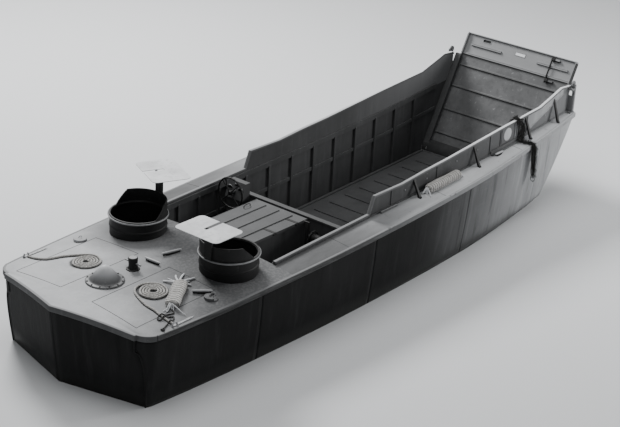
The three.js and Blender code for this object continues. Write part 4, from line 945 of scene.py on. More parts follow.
def chafing_rope():
    """Tarred rope over the coaming's cap and down the side, with yarns teased out all round it; its eye is the
    imported model's.
    """
    path = smooth_path(CHAFE_ROUTE, 0.006)
    rope = piece("chafing_rope_core", laid_rope(path, CHAFE_RADIUS, side=(1, 0, 0)), DARK_ROPE, "dark_rope",
                 stands_for=("chafing_rope",), crease=80)
    yarns = piece("chafing_rope_yarns", chafing_yarns(path), DARK_ROPE, "dark_rope", crease=80)


def chafing_yarns(path):
    """Teased yarns: each a thin tapering tube on a parabola that leaves the rope sideways and falls. Those on
    the coaming's outer face are longest, sweep forward and hang close to the wall."""
    rng = np.random.default_rng(11)
    count, steps, corners = 2400, 6, 3
    share = np.sort(rng.beta(0.9, 1.25, count) * 0.965 + 0.025)
    along = np.linspace(0, 1, len(path))
    at = coords(*(np.interp(share, along, column) for column in path.T))
    ahead = unit(coords(*(np.interp(share, along, np.gradient(column)) for column in path.T)))
    out = rng.normal(size=(count, 3))
    out = unit(out - (out * ahead).sum(1, keepdims=True) * ahead)
    drape = (at[:, 2] > 1.44) & (at[:, 1] < -1.25)
    hanging = np.abs(ahead[:, 2:]) > 0.8
    forward = np.where(rng.random((count, 1)) < 0.75, 1.0, -0.35) * (1.0, 0.0, 0.0)
    out = np.where(drape[:, None], unit(forward + 0.35 * out + (0, -0.1, 0)), out)
    reach = np.where(drape, rng.uniform(0.03, 0.1, count), rng.uniform(0.03, 0.075, count))[:, None]
    fall = np.where(drape, rng.uniform(0.02, 0.055, count), rng.uniform(0.02, 0.07, count))[:, None]
    t = np.linspace(0, 1, steps)[None, :, None]
    line = at[:, None] + reach[:, None] * out[:, None] * t + 0.3 * reach[:, None] * ahead[:, None] * t
    drop = np.where(hanging, fall, 0.25 * fall)
    line[..., 2] -= (drop[:, None] * t ** 2)[..., 0]
    hug = np.where(drape[:, None], np.clip(line[..., 1], -1.31, -1.252), line[..., 1])
    line[..., 1] = np.maximum(hug, -1.6)
    over_deck = (line[..., 1] < -1.235) & (line[..., 1] > -1.5)
    low = deck_top(line[..., 0], line[..., 1]) + 0.004
    line[..., 2] = np.where(over_deck, np.maximum(line[..., 2], low), line[..., 2])
    direction = unit(np.gradient(line, axis=1))
    a = unit(np.cross(direction, out[:, None] + 0.3))
    b = np.cross(direction, a)
    turn = full_turn(corners)[:, None]
    thick = (0.0034 * (1 - 0.6 * t))[..., None]
    points = line[:, :, None] + thick * (np.cos(turn) * a[:, :, None] + np.sin(turn) * b[:, :, None])
    one = rings(points[0], start=line[0, 0], end=line[0, -1])
    everything = np.concatenate([points.reshape(count, -1, 3), line[:, [0]], line[:, [-1]]], 1)
    return copies(Form(one.points, one.faces), everything)


# Hull skins

def grown(form_points, by):
    """Grid moved out along its own normals, the cross product of its two directions of travel."""
    normal = unit(np.cross(np.gradient(form_points, axis=1), np.gradient(form_points, axis=0)))
    return form_points + by * normal


def side_sheets():
    """Side planking: sheets between upright joints, from under the rail to the chine, over the side's curve."""
    drop = np.linspace(0.06, 1.0, 15)[:, None]
    lefts = [side_end(drop), *(x + SHEET_GAP / 2 for x in SIDE_JOINTS)]
    bow = settle(lambda x: side_at(x, drop), 5.2, lambda y, z: bow_x(z))
    rights = [*(x - SHEET_GAP / 2 for x in SIDE_JOINTS), bow]
    for left, right, crowd in zip(lefts, rights, (1.9, 1, 1, 1, 1)):
        x = left + (right - left) * np.linspace(0, 1, 56)[None] ** crowd
        y, z = side_at(x, drop + 0 * x)
        yield grown(coords(x, y, z), SKIN)


def bottom_sheets():
    """Bottom planking: one sheet a side from the transom to the nose, over the bottom's curve."""
    share = np.concatenate([np.linspace(0, BILGE_SHARE, 8), np.linspace(BILGE_SHARE, 1, 8)[1:]])[:, None]
    aft = bottom_end(share)
    x = aft + (NOSE_X - aft) * np.linspace(0, 1, 110)[None] ** 1.7
    y, z = bottom_at(x, share + 0 * x)
    yield grown(coords(x, y, z)[::-1], SKIN)


def transom_sheet():
    """Port half of the transom: the flat raked plane, filled between the bottom's edge, the deck's edge and
    the side's edge."""
    across = np.linspace(0, 1, 15)[None]
    up = np.linspace(0, 1, 14)[:, None]
    low_y, low_z = bottom_at(bottom_end(across), across)
    high_x = deck_end(across)
    high_y = across * deck_half(high_x)
    high_z = deck_top(high_x, high_y) - 0.03
    edge_y, edge_z = side_at(side_end(1 - up), 1 - up)
    y = (1 - up) * low_y + up * high_y
    z = (1 - up) * low_z + up * high_z
    y = y + across * (edge_y - y[:, -1:])
    z = z + across * (np.minimum(edge_z, high_z[:, -1:]) - z[:, -1:])
    return grown(coords(transom_x(y, z), y, z)[::-1], SKIN)


def quarter_bead():
    """Bead on the port quarter: a tube along the line where the side meets the transom."""
    drop = np.linspace(0.05, 1.0, 60)
    x = side_end(drop)
    return tube(coords(x, *side_at(x, drop))[::-1], 0.0155, 12, ASIDE)


def planking(name, grids, finish):
    piece(name, both([rings(points, around=False) for points in grids]), finish, "hull_paint", shell=SKIN_THICK)


def hull_skins():
    planking("side_planking", side_sheets(), SIDE)
    planking("bottom_planking", bottom_sheets(), BOTTOM)
    piece("quarter_beads", both([quarter_bead()]), SIDE, "hull_paint", crease=80)
    planking("transom_planking", [transom_sheet()], SIDE)


def mitres(line):
    """Vectors to the left of a flat line at each of its points: the sum of the two normals there, stretched
    so that a section carried along keeps its width."""
    step = unit(np.diff(line, axis=0))
    normal = coords(-step[:, 1], step[:, 0])
    before = np.vstack([normal[:1], normal])
    after = np.vstack([normal, normal[-1:]])
    return (before + after) / (1 + (before * after).sum(1, keepdims=True))


def rail_path():
    """Plan of the deck's edge at the stern: the port quarter's arc, the transom's V, and back to starboard."""
    corner = -4.95
    end = settle(lambda x: (deck_half(x), station("sheer", x)), -5.0)
    first = math.asin((QUARTER_START - corner) / QUARTER_RADIUS)
    x = np.append(QUARTER_START - QUARTER_RADIUS * np.sin(np.linspace(first, math.pi / 2, 14)), end)
    quarter = coords(x, deck_half(x))
    y = np.linspace(quarter[-1, 1], 0, 14)[1:]
    port = np.concatenate([quarter, coords(transom_x(y, DECK_AFT_Z), y)])
    return np.concatenate([port, (port * (1, -1))[-2::-1]])


def along_edge(plan, section):
    """Section of (out, up) carried along a plan line at the deck's edge, mitred at its corners."""
    height = deck_top(plan[:, 0], np.minimum(np.abs(plan[:, 1]), deck_half(plan[:, 0])))
    return sweep(section, np.column_stack([plan, height]), coords(*mitres(plan).T, 0.0))


def rub_rails():
    """Rails: a section 35 mm proud of the deck's edge and 82 mm deep with rounded corners, carried along the
    sides and round the stern, with bolt heads along its face."""
    section = rounded(0.047, 0.086, 0.013, 5) + (0.0115, -0.039)
    x = np.linspace(-4.9497, 5.235, 60)
    port = along_edge(coords(x, deck_half(x)), section)
    at = np.arange(-4.7, 5.1, 0.35)
    bolts = studs(coords(at, deck_half(at) + 0.035, station("sheer", at) - 0.042), ASIDE, 0.011, 0.004)
    for (side, _), forms in zip(SIDES, ([port, bolts], [port.mirrored(), bolts.mirrored()])):
        piece("guard_rail_" + side, forms, RAIL, "hull_paint", stands_for=("rub_rail_" + side,))
    y = np.linspace(-1.1, 1.1, 9)
    x = transom_x(y, DECK_AFT_Z)
    heads = studs(coords(x - 0.034, y, deck_top(x, y) - 0.042), -ALONG, 0.011, 0.004)
    piece("guard_rail_transom", [along_edge(rail_path(), section * (-1, 1)), heads], STERN_RAIL, "hull_paint",
          stands_for=("rub_rail_transom",))


# Decks

def aft_deck():
    """Deck plywood: a crowned sheet from the transom to the tubs, and round each tub a ring of surface out to
    the edges of the rectangle that holds it."""
    sheet_aft, sheet_side = -3.46, 1.56
    share = np.linspace(-1, 1, 49)[None]
    aft = deck_end(share)
    x = aft + (sheet_aft - aft) * np.linspace(0, 1, 60)[:, None] ** 1.7
    y = share * deck_half(x)
    forms = [sheet(x, y, deck_top(x, y) + 0.002)]
    cos, sin = circle(1, full_turn(96)[None]).transpose(2, 0, 1)
    reach_x = np.where(cos > 0, COCKPIT_AFT - TUB_X, TUB_X - sheet_aft) / np.maximum(np.abs(cos), 1e-9)
    reach_y = np.where(sin > 0, sheet_side - TUB_Y, TUB_Y) / np.maximum(np.abs(sin), 1e-9)
    reach = np.minimum(reach_x, reach_y)
    near_x, near_y = TUB_X + (TUB_RADIUS + 0.002) * cos, TUB_Y + (TUB_RADIUS + 0.002) * sin
    far_x, far_y = TUB_X + reach * cos, TUB_Y + reach * sin
    far_y = np.where(far_y > 1.5, np.minimum(far_y, deck_half(far_x)), far_y)
    out = np.linspace(0, 1, 9)[:, None]
    x, y = near_x + (far_x - near_x) * out, near_y + (far_y - near_y) * out
    forms += both([rings(coords(x, y, deck_top(x, y) + 0.002))])
    piece("aft_deck_sheets", forms, DECK, "deck_paint")


def ribbon(plan, half=0.005, lift=0.0025, high=0.002):
    """Low rounded strip along a plan line on the deck: a five-point arch across."""
    plan = even(np.asarray(plan, float), 0.08)
    step = unit(np.gradient(plan, axis=0))
    across = np.array([-1, -0.7, 0, 0.7, 1]) * half
    x, y = (plan[:, [k]] + across * normal[:, None] for k, normal in ((0, -step[:, 1]), (1, step[:, 0])))
    return sheet(x, y, deck_top(x, y) + lift + np.array([-0.6, 0.7, 1, 0.7, -0.6]) * high)


def deck_seams():
    """Dark joints: round the two flush hatches and across the side decks."""
    aft, fore, inner, outer = -5.0, -3.57, 0.3, 1.15
    loops = []
    for _, sign in SIDES:
        corners = [(aft, sign * inner), (aft - 0.03, sign * outer), (fore, sign * outer), (fore, sign * inner)]
        loops += [ribbon(pair) for pair in zip(corners, corners[1:] + corners[:1])]
        loops += [ribbon([(x, sign * (COAMING_OUT + 0.01)), (x, sign * (deck_half(x) - 0.015))], 0.003)
                  for x in (-1.25, 1.15, 3.42)]
    piece("deck_seams", loops, SEAM, "deck_paint")


def side_decks():
    """Side decks: crowned plywood from the coaming's foot to the deck's edge."""
    x = np.linspace(COCKPIT_AFT + 0.001, 5.235, 90)[:, None]
    inner = COAMING_OUT + 0.001
    y = inner + (deck_half(x) - inner) * np.linspace(0, 1, 9)
    piece("side_deck_sheets", both([sheet(x, y, deck_top(x, y) + 0.002).turned_over()]), SIDE_DECK,
          "deck_paint")


# Coamings

def top_of_coaming(x):
    return np.interp(x, COAMING_TOP[:, 0], COAMING_TOP[:, 1])


def coaming_caps():
    """Cap: a rounded section carried along the coaming's broken top line, mitred at each bend."""
    line = COAMING_TOP + (0, -0.0145)
    across = mitres(line)
    form = sweep(rounded(0.052, 0.034, 0.009), coords(line[:, 0], COAMING_OUT - 0.0015, line[:, 1]),
                 up=coords(across[:, 0], 0.0, across[:, 1]))
    piece("coaming_caps", both([form]), CAP, "hull_paint")


def coaming_straps():
    """Braces: flat bars that lean out from under the cap to a foot bolted on the deck."""
    forms, heads = [], []
    for x in STRAPS:
        deck = deck_top(x, COAMING_OUT)
        high = top_of_coaming(x) - 0.03 - deck
        outline = np.array([(-0.004, high - 0.0615), (0.111, -0.008), (0.157, -0.008), (0.157, 0.0115),
                            (0.1405, 0.0115), (-0.004, high + 0.0015)]) + (COAMING_OUT, deck)
        forms.append(prism(outline, 0, x - 0.021, x + 0.021))
        heads.append(studs([(x, COAMING_OUT + 0.149, deck + 0.0115)], UP, 0.007, 0.005))
    piece("coaming_straps", both(forms + heads), DARK, "hull_paint", bevel=0.002, crease=40)


def side_board(low, high, x0, x1, proud, steps=24):
    """Board on the coaming's outer face between two height lines: a thin strip whose section is a rectangle."""
    x = np.linspace(x0, x1, steps)
    tall = (high(x) - low(x))[:, None] * UP
    return sweep([(-0.002, 0), (proud, 0), (proud, 1), (-0.002, 1)], coords(x, COAMING_OUT, low(x)), up=tall)


def coaming_boards():
    """Trim of the outer faces: a quarter round at the deck, a stepped moulding, upright battens, the raised
    board towards the bow, and the blank plate and disc."""
    def foot(up):
        return lambda x: deck_top(x, COAMING_OUT + 0.02) + up

    def slope(up):
        return lambda x: 1.497 + up + (x - 3.97) * 0.372

    def under(x):
        return top_of_coaming(x) - 0.033

    def battens(places, low, half, proud):
        return [side_board(foot(low), under, x - half, x + half, proud, 3) for x in places]

    strips = [side_board(foot(0), foot(0.026), -2.44, 5.16, 0.02, 90),
              side_board(foot(0), foot(0.022), 2.84, 3.74, 0.062),
              side_board(foot(0), foot(0.072), 2.84, 3.74, 0.026),
              *battens((-1.5, -0.36, 0.2, 1.36, 2.82, 3.12), 0.03, 0.009, 0.012)]
    bright = [side_board(slope(0), under, 3.9, 4.965, 0.012),
              side_board(slope(-0.01), slope(0.006), 3.9, 4.965, 0.018),
              *battens((3.545, 3.605), 0.07, 0.011, 0.014)]
    plate = side_board(lambda x: 1.437, under, 3.15, 3.492, 0.007, 5)
    disc = bar((3.318, COAMING_OUT, 1.57), (3.318, COAMING_OUT + 0.011, 1.57), 0.108, 48)
    for name, forms, finish, bevel in (("mouldings", strips, COAMING, 0.002),
                                       ("light_trim", bright, COAMING_LIGHT, 0.002),
                                       ("plates", [plate], COAMING, 0.002), ("discs", [disc], DISC, 0.003)):
        piece("coaming_" + name, both(forms), finish, "hull_paint", bevel=bevel)
    face = COAMING_OUT + 0.0005
    spots = [(1.889, face, 1.495), (2.454, face, 1.534), (4.437, face, 1.614), (4.569, face + 0.012, 1.715),
             (4.769, face + 0.012, 1.79), (0.55, face, 1.4), (1.1, face, 1.43)]
    x = np.arange(-2.3, 5.1, 0.3)
    row = coords(x, COAMING_OUT + 0.018, foot(0.015)(x))
    forms = both([studs(spots, ASIDE, 0.014, 0.011, 10), studs(row, ASIDE, 0.006, 0.004, 6)])
    piece("coaming_bolts", forms, RIM, "steel_paint")


def ring_parts(radius, thick, turn, around):
    """Coordinates of a ring of round section: two in its plane and one along its axis."""
    far = radius + thick * np.cos(around)
    return far * np.cos(turn), far * np.sin(turn), thick * np.sin(around)


def deck_odds():
    """Slat on the starboard side deck, and the ring bolt that the chafing rope is made fast to, whose ring has
    one flat side."""
    piece("grab_slat", boxes([(-0.099, -1.285, 1.22, 0.305, -1.265, 1.26)]), CAP, "deck_paint", bevel=0.003)
    x, y, z = 3.556, -1.175, 1.52
    along, up, out = ring_parts(0.028, 0.006, full_turn(24)[:, None], full_turn(12)[:10])
    plate = boxes([(x - 0.03, -1.2005, z - 0.03, x + 0.03, -1.192, z + 0.06)])
    ring = rings(coords(x + out, y + along, z + up), along=True)
    piece("ring_bolt", [ring, plate], RIM, "steel_paint", bevel=0.002)


# Troop well and cockpit

def floor_height(x):
    return WELL_FLOOR_AFT + (WELL_FLOOR_FORE - WELL_FLOOR_AFT) * (x - WELL_AFT) / (NOSE_X - WELL_AFT)


def well_sides():
    """Inner walls: upright ribs from the floor to the side deck, a stringer at half height, a wider one that
    covers the joint under the coaming, and the jambs that the ramp closes against."""
    at = np.concatenate([np.arange(-2.3, -0.9, 0.44), np.arange(-0.35, 4.2, 0.55)])
    low = np.where(at < WELL_AFT, SOLE_Z + 0.002, floor_height(at) + 0.026)
    forms = [boxes(coords(at - 0.022, 1.163, low, at + 0.022, 1.2005, station("sheer", at) - 0.02))]
    x = np.linspace(COCKPIT_AFT + 0.002, 4.7, 60)
    for drop, deep, wide in ((0.0, 0.09, 0.026), (0.42, 0.06, 0.022)):
        section = [(0.001, deep / 2), (-wide, deep / 2), (-wide, -deep / 2), (0.001, -deep / 2)]
        forms.append(sweep(section, coords(x, 1.2, station("sheer", x) - drop)))
    piece("well_ribs", both(forms), INSIDE, "inside_paint", bevel=0.004)
    z = np.array([0.37, 1.93])
    aft = RAMP_X + (z - RAMP_Z) * math.tan(math.radians(RAMP_LEAN)) - 0.115
    outline = [(aft[0], z[0]), (aft[0] + 0.035, z[0]), (aft[1] + 0.035, z[1]), (aft[1], z[1])]
    piece("ramp_jambs", both([prism(outline, 1, 1.085, 1.2005)]), INSIDE, "inside_paint", bevel=0.004)


def floor_boards():
    """Screw heads along the tread battens, and the limber strips at the floor's edges."""
    x = np.arange(-0.495, 4.2, 0.4)[:, None] + 0.03
    grid = coords(x, np.linspace(-0.88, 0.88, 9), floor_height(x) + 0.0433)
    line = np.linspace(-0.7, 4.36, 20)
    strip = sweep(rounded(0.05, 0.03, 0.006, 3), coords(line, 1.15, floor_height(line) + 0.035))
    piece("floor_trim", [studs(grid.reshape(-1, 3), UP, 0.007, 0.002, 6), *both([strip])], BOARDS,
          "inside_paint")


def engine_cover():
    """Lid fittings: three strap hinges at its starboard edge, an edge bead, screw heads and two lifting
    handles bent from rod. Then the box's corner posts and louvres."""
    top, hinges = 1.134, (-2.1, -1.6, -1.1)
    fittings = [boxes([(x - 0.025, -0.505, top - 0.001, x + 0.025, -0.24, top + 0.005) for x in hinges])]
    fittings += [bar((x - 0.04, -0.507, 1.118), (x + 0.04, -0.507, 1.118), 0.011, 14) for x in hinges]
    bend = [(-0.07, 0), (-0.068, 0.03), (-0.04, 0.045), (0.04, 0.045), (0.068, 0.03), (0.07, 0)]
    for x in (-2.0, -1.2):
        path = smooth_path([(x + along, 0.4, top + up) for along, up in bend], 0.008)
        fittings.append(tube(path, 0.0065, 10, ASIDE))
    piece("lid_fittings", fittings, DARK, "dark_steel", body="engine_lid", bevel=0.0015)
    edge = boxes([(-2.333, y - 0.003, 1.094, -0.867, y + 0.003, 1.137) for y in (-0.5, 0.5)])
    spots = [(x, y, top) for x in np.linspace(-2.27, -0.93, 12) for y in (-0.46, 0.46)]
    heads = studs(spots, UP, 0.006, 0.0025, 6)
    piece("lid_edges", [edge, heads], LID_PAINT, "deck_paint", body="engine_lid", bevel=0.0015)
    corners = [(x, y, 0.36, x + 0.03, y + 0.03, 1.095) for x in (-2.316, -0.914) for y in (-0.484, 0.454)]
    louvres = [(-2.313, y - 0.12, z, -2.31, y + 0.12, z + 0.012)
               for y in (-0.2, 0.2) for z in np.arange(0.6, 0.96, 0.04)]
    piece("engine_box_trim", boxes(corners + louvres), INSIDE, "inside_paint", bevel=0.002)


def console_dials():
    """Dials on the sloping head: a rounded bezel, a blank face, a ring of tick marks and a needle. Beside
    them the throttle lever."""
    slope = math.atan2(0.25, 0.1)
    for name, y, along, r in (("engine", 0.745, 0.15, 0.046), ("speed", 0.85, 0.205, 0.034),
                              ("pressure", 0.955, 0.15, 0.046)):
        spot = (-1.0203 + along * math.cos(slope), y, 1.08 + along * math.sin(slope))
        place = place_at(spot, "Y", math.degrees(slope) - 180) @ Matrix.Rotation(math.pi, 4, "X")
        bezel = revolve(circle(1, full_turn(12)) * (0.006, 0.007) + (r, 0.006), sides=40, closed=True)
        face = revolve([(0, -0.004), (r, -0.004), (r, 0.007), (0, 0.007)], sides=40)
        mark = boxes([(-0.0012, 0.74 * r, 0.0065, 0.0012, 0.92 * r, 0.008)])
        needle = boxes([(-0.0014, -0.2 * r, 0.0065, 0.0014, 0.66 * r, 0.0085)])
        marks = [mark.moved(Matrix.Rotation(turn, 4, "Z")) for turn in np.linspace(-2.2, 2.2, 11)]
        piece("dial_bezel_" + name, bezel, RIM, "steel_paint", place=place)
        piece("dial_face_" + name, face, DARK, "dark_steel", place=place)
        piece("dial_marks_" + name, [*marks, needle.moved(Matrix.Rotation(0.7, 4, "Z"))], DISC, "shield_paint",
              place=place)
    path = smooth_path([(-0.93, 1.03, 1.12), (-0.93, 1.05, 1.16), (-0.96, 1.055, 1.3)], 0.01)
    lever = tube(path, 0.007, 10, ALONG)
    knob = revolve([(0, -0.022), (0.014, -0.018), (0.021, 0), (0.014, 0.018), (0, 0.022)],
                   (-0.962, 1.055, 1.315), 20)
    quadrant = bar((-0.93, 1.014, 1.12), (-0.93, 1.038, 1.12), 0.04, 32)
    piece("throttle_lever", [lever, knob, quadrant], DARK, "dark_steel", bevel=0.001)


def helm():
    """Steering wheel: a round rim that swells at each of its finger grips, four tapering spokes and a turned
    hub, about a fore-and-aft axis."""
    turn = full_turn(144)[:, None]
    rim = rings(coords(*ring_parts(0.24, 0.0135 + 0.0012 * np.cos(24 * turn), turn, full_turn(14))), along=True)
    far = np.linspace(0.02, 0.238, 10)[:, None]
    spokes = [tube(far * (math.cos(turn), math.sin(turn), 0.0), np.linspace(0.011, 0.008, 10), 14)
              for turn in full_turn(4) + math.pi / 4]
    hub = revolve([(0, -0.025), (0.024, -0.025), (0.034, -0.016), (0.036, 0.004), (0.03, 0.02), (0.022, 0.029),
                   (0, 0.029)], sides=32)
    piece("helm_wheel", [rim, *spokes, hub], DARK, "dark_steel", body="steering_wheel",
          stands_for=("steering_wheel",), place=place_at(WHEEL_AT, "Y", 90), crease=50)


def winch():
    """Winch drum wound with wire: a profile of revolution whose ridges are the turns, between dished flanges,
    with the axle, a crank arm with round ends and a turned grip."""
    x, y, z = -1.075, -0.9, 0.98
    along = np.linspace(-0.095, 0.095, 120)
    wound = coords(0.066 + 0.004 * np.abs(np.cos(math.pi * along / 0.011)), along)
    flange = np.array([(0, -0.148), (0.02, -0.148), (0.02, -0.114), (0.05, -0.112), (0.113, -0.112),
                       (0.115, -0.108), (0.113, -0.1), (0.072, -0.097)])
    profile = np.concatenate([flange, wound, (flange * (1, -1))[:1:-1], [(0.02, 0.2), (0, 0.2)]])
    drum = revolve(profile, sides=64)
    half = np.linspace(0, math.pi, 13)
    outline = np.concatenate([circle(0.018, half) + (0, 0.215), circle(-0.024, half)]) + (x, z)
    grip = revolve([(0, 0), (0.01, 0), (0.014, 0.02), (0.0145, 0.06), (0.012, 0.09), (0.006, 0.097),
                    (0, 0.097)], sides=24)
    forms = [drum.moved(place_at((x, y, z), "X", -90)), prism(outline, 1, y + 0.186, y + 0.2),
             grip.moved(place_at((x, y + 0.198, z + 0.215), "X", -90))]
    piece("winch_reel", forms, DARK, "dark_steel", body="winch_drum", stands_for=("winch_drum",), bevel=0.0012,
          crease=45)
    feet = studs([(x + a, y + b, 0.37) for a in (-0.11, 0.11) for b in (-0.12, 0, 0.12)], UP, 0.012, 0.009)
    piece("winch_bolts", feet, STEEL, "steel_paint")


# Bow

def ramp_lip(y, z, wide, high):
    """Raised edge round an opening: a closed strip between two rounded rectangles."""
    outer = rounded(wide + 0.02, high + 0.02, 0.012) + (y, z)
    inner = rounded(wide, high, 0.008) + (y, z)
    rows = ((0.001, outer), (-0.005, outer), (-0.005, inner), (0.001, inner))
    return rings(np.array([coords(out, *edge.T) for out, edge in rows]), along=True)


def ramp_details():
    """Ramp, in its own frame with X out and Z up its slope: weld beads along its ribs, rivets along its
    flanges, lips round its slot and recesses, treads on its outer face, and the hooked ends of the rod."""
    trim = [bar((-0.001, y0, z + s), (-0.001, y1, z + s), 0.005, 8)
            for y0, y1, z in RAMP_RIBS for s in (-0.0135, 0.0135)]
    up = np.arange(0.15, 2.15, 0.1)
    trim += [studs(coords(-0.03, y, up), np.sign(y) * ASIDE, 0.007, 0.003, 6) for y in (-1.122, 1.122)]
    across = np.arange(-1.05, 1.06, 0.1)
    trim.append(studs(coords(0.0, across[np.abs(across) > 0.13], 2.06), -ALONG, 0.006, 0.003, 6))
    trim += [ramp_lip(0, 2.05, 0.205, 0.056), *(ramp_lip(y, 2.112, 0.16, 0.046) for y in (0.72, -0.73))]
    treads = [(0.033, -1.02, z - 0.018, 0.046, 1.02, z + 0.018) for z in np.arange(0.25, 2.0, 0.25)]
    treads += [(0.033, y - 0.03, 0.1, 0.041, y + 0.03, 2.15) for y in (-1.08, 1.08)]
    hooks = [(-0.056, -0.712, z - 0.03, 0.001, -0.638, z + 0.03) for z in (1.738, 2.123)]
    shade = [(0.012, y - 0.078, 2.0915, 0.016, y + 0.078, 2.1325) for y in (0.72, -0.73)]
    sides = [(-0.06, s * 1.1255 - 0.0015, 0.12, 0.03, s * 1.1255 + 0.0015, 2.16) for s in (-1, 1)]
    # Pale strips on the upper ribs' top edges: a painted highlight.
    edges = [(-0.03, y0, z + 0.014, -0.002, y1, z + 0.02) for y0, y1, z in RAMP_RIBS[:3]]
    for name, forms, finish, slot, bevel in (
            ("trim", trim, RAMP_STEEL, "steel_paint", 0),
            ("treads", boxes(treads), RAMP_STEEL, "steel_paint", 0.003),
            ("rod_hooks", boxes(hooks), DARK, "dark_steel", 0.012),
            ("rod", bar((-0.04, -0.652, 1.692), (-0.04, -0.652, 2.163), 0.0128), DARK, "dark_steel", 0),
            ("recess_shade", boxes(shade), SEAM, "steel_paint", 0),
            ("sides", boxes(sides), DARK, "steel_paint", 0),
            ("rib_edges", boxes(edges), HORN, "steel_paint", 0),
            ("slot_light", boxes([(0.002, -0.1015, 2.0235, 0.016, 0.1015, 2.0765)]), SLOT_LIGHT,
             "steel_paint", 0)):
        piece("ramp_" + name, forms, finish, slot, body="ramp", bevel=bevel,
              place=place_at((RAMP_X, 0, RAMP_Z), "Y", RAMP_LEAN))


def sill_flap():
    """Canvas flap fixed to the sill beam: a thin curved strip that leans over the hinge towards the ramp."""
    line = smooth_path([(4.418, 0.285), (4.424, 0.36), (4.45, 0.42), (4.5, 0.455), (4.562, 0.475)], 0.01)
    across = 0.003 * mitres(line)
    outline = np.concatenate([line + across, (line - across)[::-1]])
    piece("sill_flap", prism(outline, 1, -1.1, 1.1), CANVAS, "dark_rope")
    piece("sill_flap_ends", [prism(outline, 1, y - 0.045, y + 0.045) for y in (-1.15, 1.15)], CANVAS,
          "dark_rope")


def painted_shadows():
    """Painted shadows of the ropes and fittings: low dark strips on the deck beside each lead, in front of the
    pads and along the port edge."""
    plans = [(np.array(line) - 0.008, 0.017) for line in LEADS.values()]
    plans += [(circle(0.1, np.linspace(-3.3, -1.0, 14)) + (PAD_X, sign * PAD_Y), 0.009) for _, sign in SIDES]
    plans.append(([(-4.69, 1.408), (-4.25, 1.408)], 0.008))
    piece("deck_painted_shadows", [ribbon(plan, half, 0.0024, 0.0008) for plan, half in plans], SEAM, "deck_paint")


def bow_fittings():
    """Bow posts' webs, bolts and guard straps, and bolts of the sill beam's lugs."""
    edge = deck_half(5.24)
    web = boxes([(5.1815, COAMING_OUT - 0.03, 1.44, 5.193, edge - 0.02, 1.79)])
    piece("bow_post_web", both([web]), COAMING, "steel_paint", bevel=0.002)
    heads = studs([(5.1945, edge - 0.036, z) for z in (1.56, 1.66, 1.76, 1.86)], -ALONG, 0.009, 0.006)
    foot = studs([(x, edge - 0.05, 1.512) for x in (5.135, 5.175)], UP, 0.01, 0.006)
    strap = boxes([(5.19, edge - 0.063, z, 5.1955, edge - 0.012, z + 0.025) for z in (1.52, 1.86)])
    piece("bow_post_fittings", both([heads, foot, strap]), RIM, "steel_paint", bevel=0.001)
    lugs = studs([(4.43, y + s, 0.35) for y in (-0.6, -0.2, 0.2, 0.6) for s in (-0.06, 0.06)], UP, 0.011, 0.007)
    piece("sill_bolts", lugs, STEEL, "steel_paint")


# Tubs, carriages and shields

def tubs():
    """Tub: a cup of revolution with a rolled rim, and a bead at half height."""
    r, wall, under = TUB_RADIUS, 0.015, TUB_RIM - 0.025
    outside = [(0, 0.4), (r, 0.4), (r, 1.2), (r, 1.27), (r + 0.008, 1.28), (r + 0.008, 1.3), (r, 1.31),
               (r, under)]
    lip = [(0.428, under + 0.002), (0.428, TUB_RIM - 0.005), (0.423, TUB_RIM), (0.392, TUB_RIM),
           (0.388, TUB_RIM - 0.004), (0.388, under)]
    inside = [(r - wall, under), (r - wall, 0.9), (r - wall, 0.424), (r - wall - 0.004, 0.42), (0, 0.42)]
    for side, sign in SIDES:
        piece("tub_" + side, revolve(outside + lip + inside, (TUB_X, sign * TUB_Y, 0), 96), DARK, "dark_steel",
              stands_for=("gun_tub_" + side,), crease=30)


def put(sign):
    """Matrix from a carriage's own frame to the boat's: the starboard one faces aft."""
    return place_at((TUB_X, sign * TUB_Y, 0), "Z", 90 - 90 * sign)


def half_wall(base, top):
    """Upright wall round part of the tub, whose ends slope: two faces and the edge between them."""
    rows, columns = 9, 61
    up = np.linspace(0, 1, rows)[:, None]
    turn = np.arccos((-0.06 + 0.2 * up) / 0.4035) * np.linspace(-1, 1, columns)[None]
    inner, outer = (rings(circle(r, turn, base + (top - base) * up), around=False) for r in (0.396, 0.411))
    first = np.concatenate([np.arange(columns), np.arange(1, rows) * columns + columns - 1,
                            (rows - 1) * columns + np.arange(columns - 2, -1, -1),
                            np.arange(rows - 2, 0, -1) * columns])
    size = rows * columns
    wall = joined([outer, inner.turned_over()])
    edge = coords(first, np.roll(first, -1), np.roll(first, -1) + size, first + size)
    return Form(wall.points, [*wall.faces, edge], wall.uv)


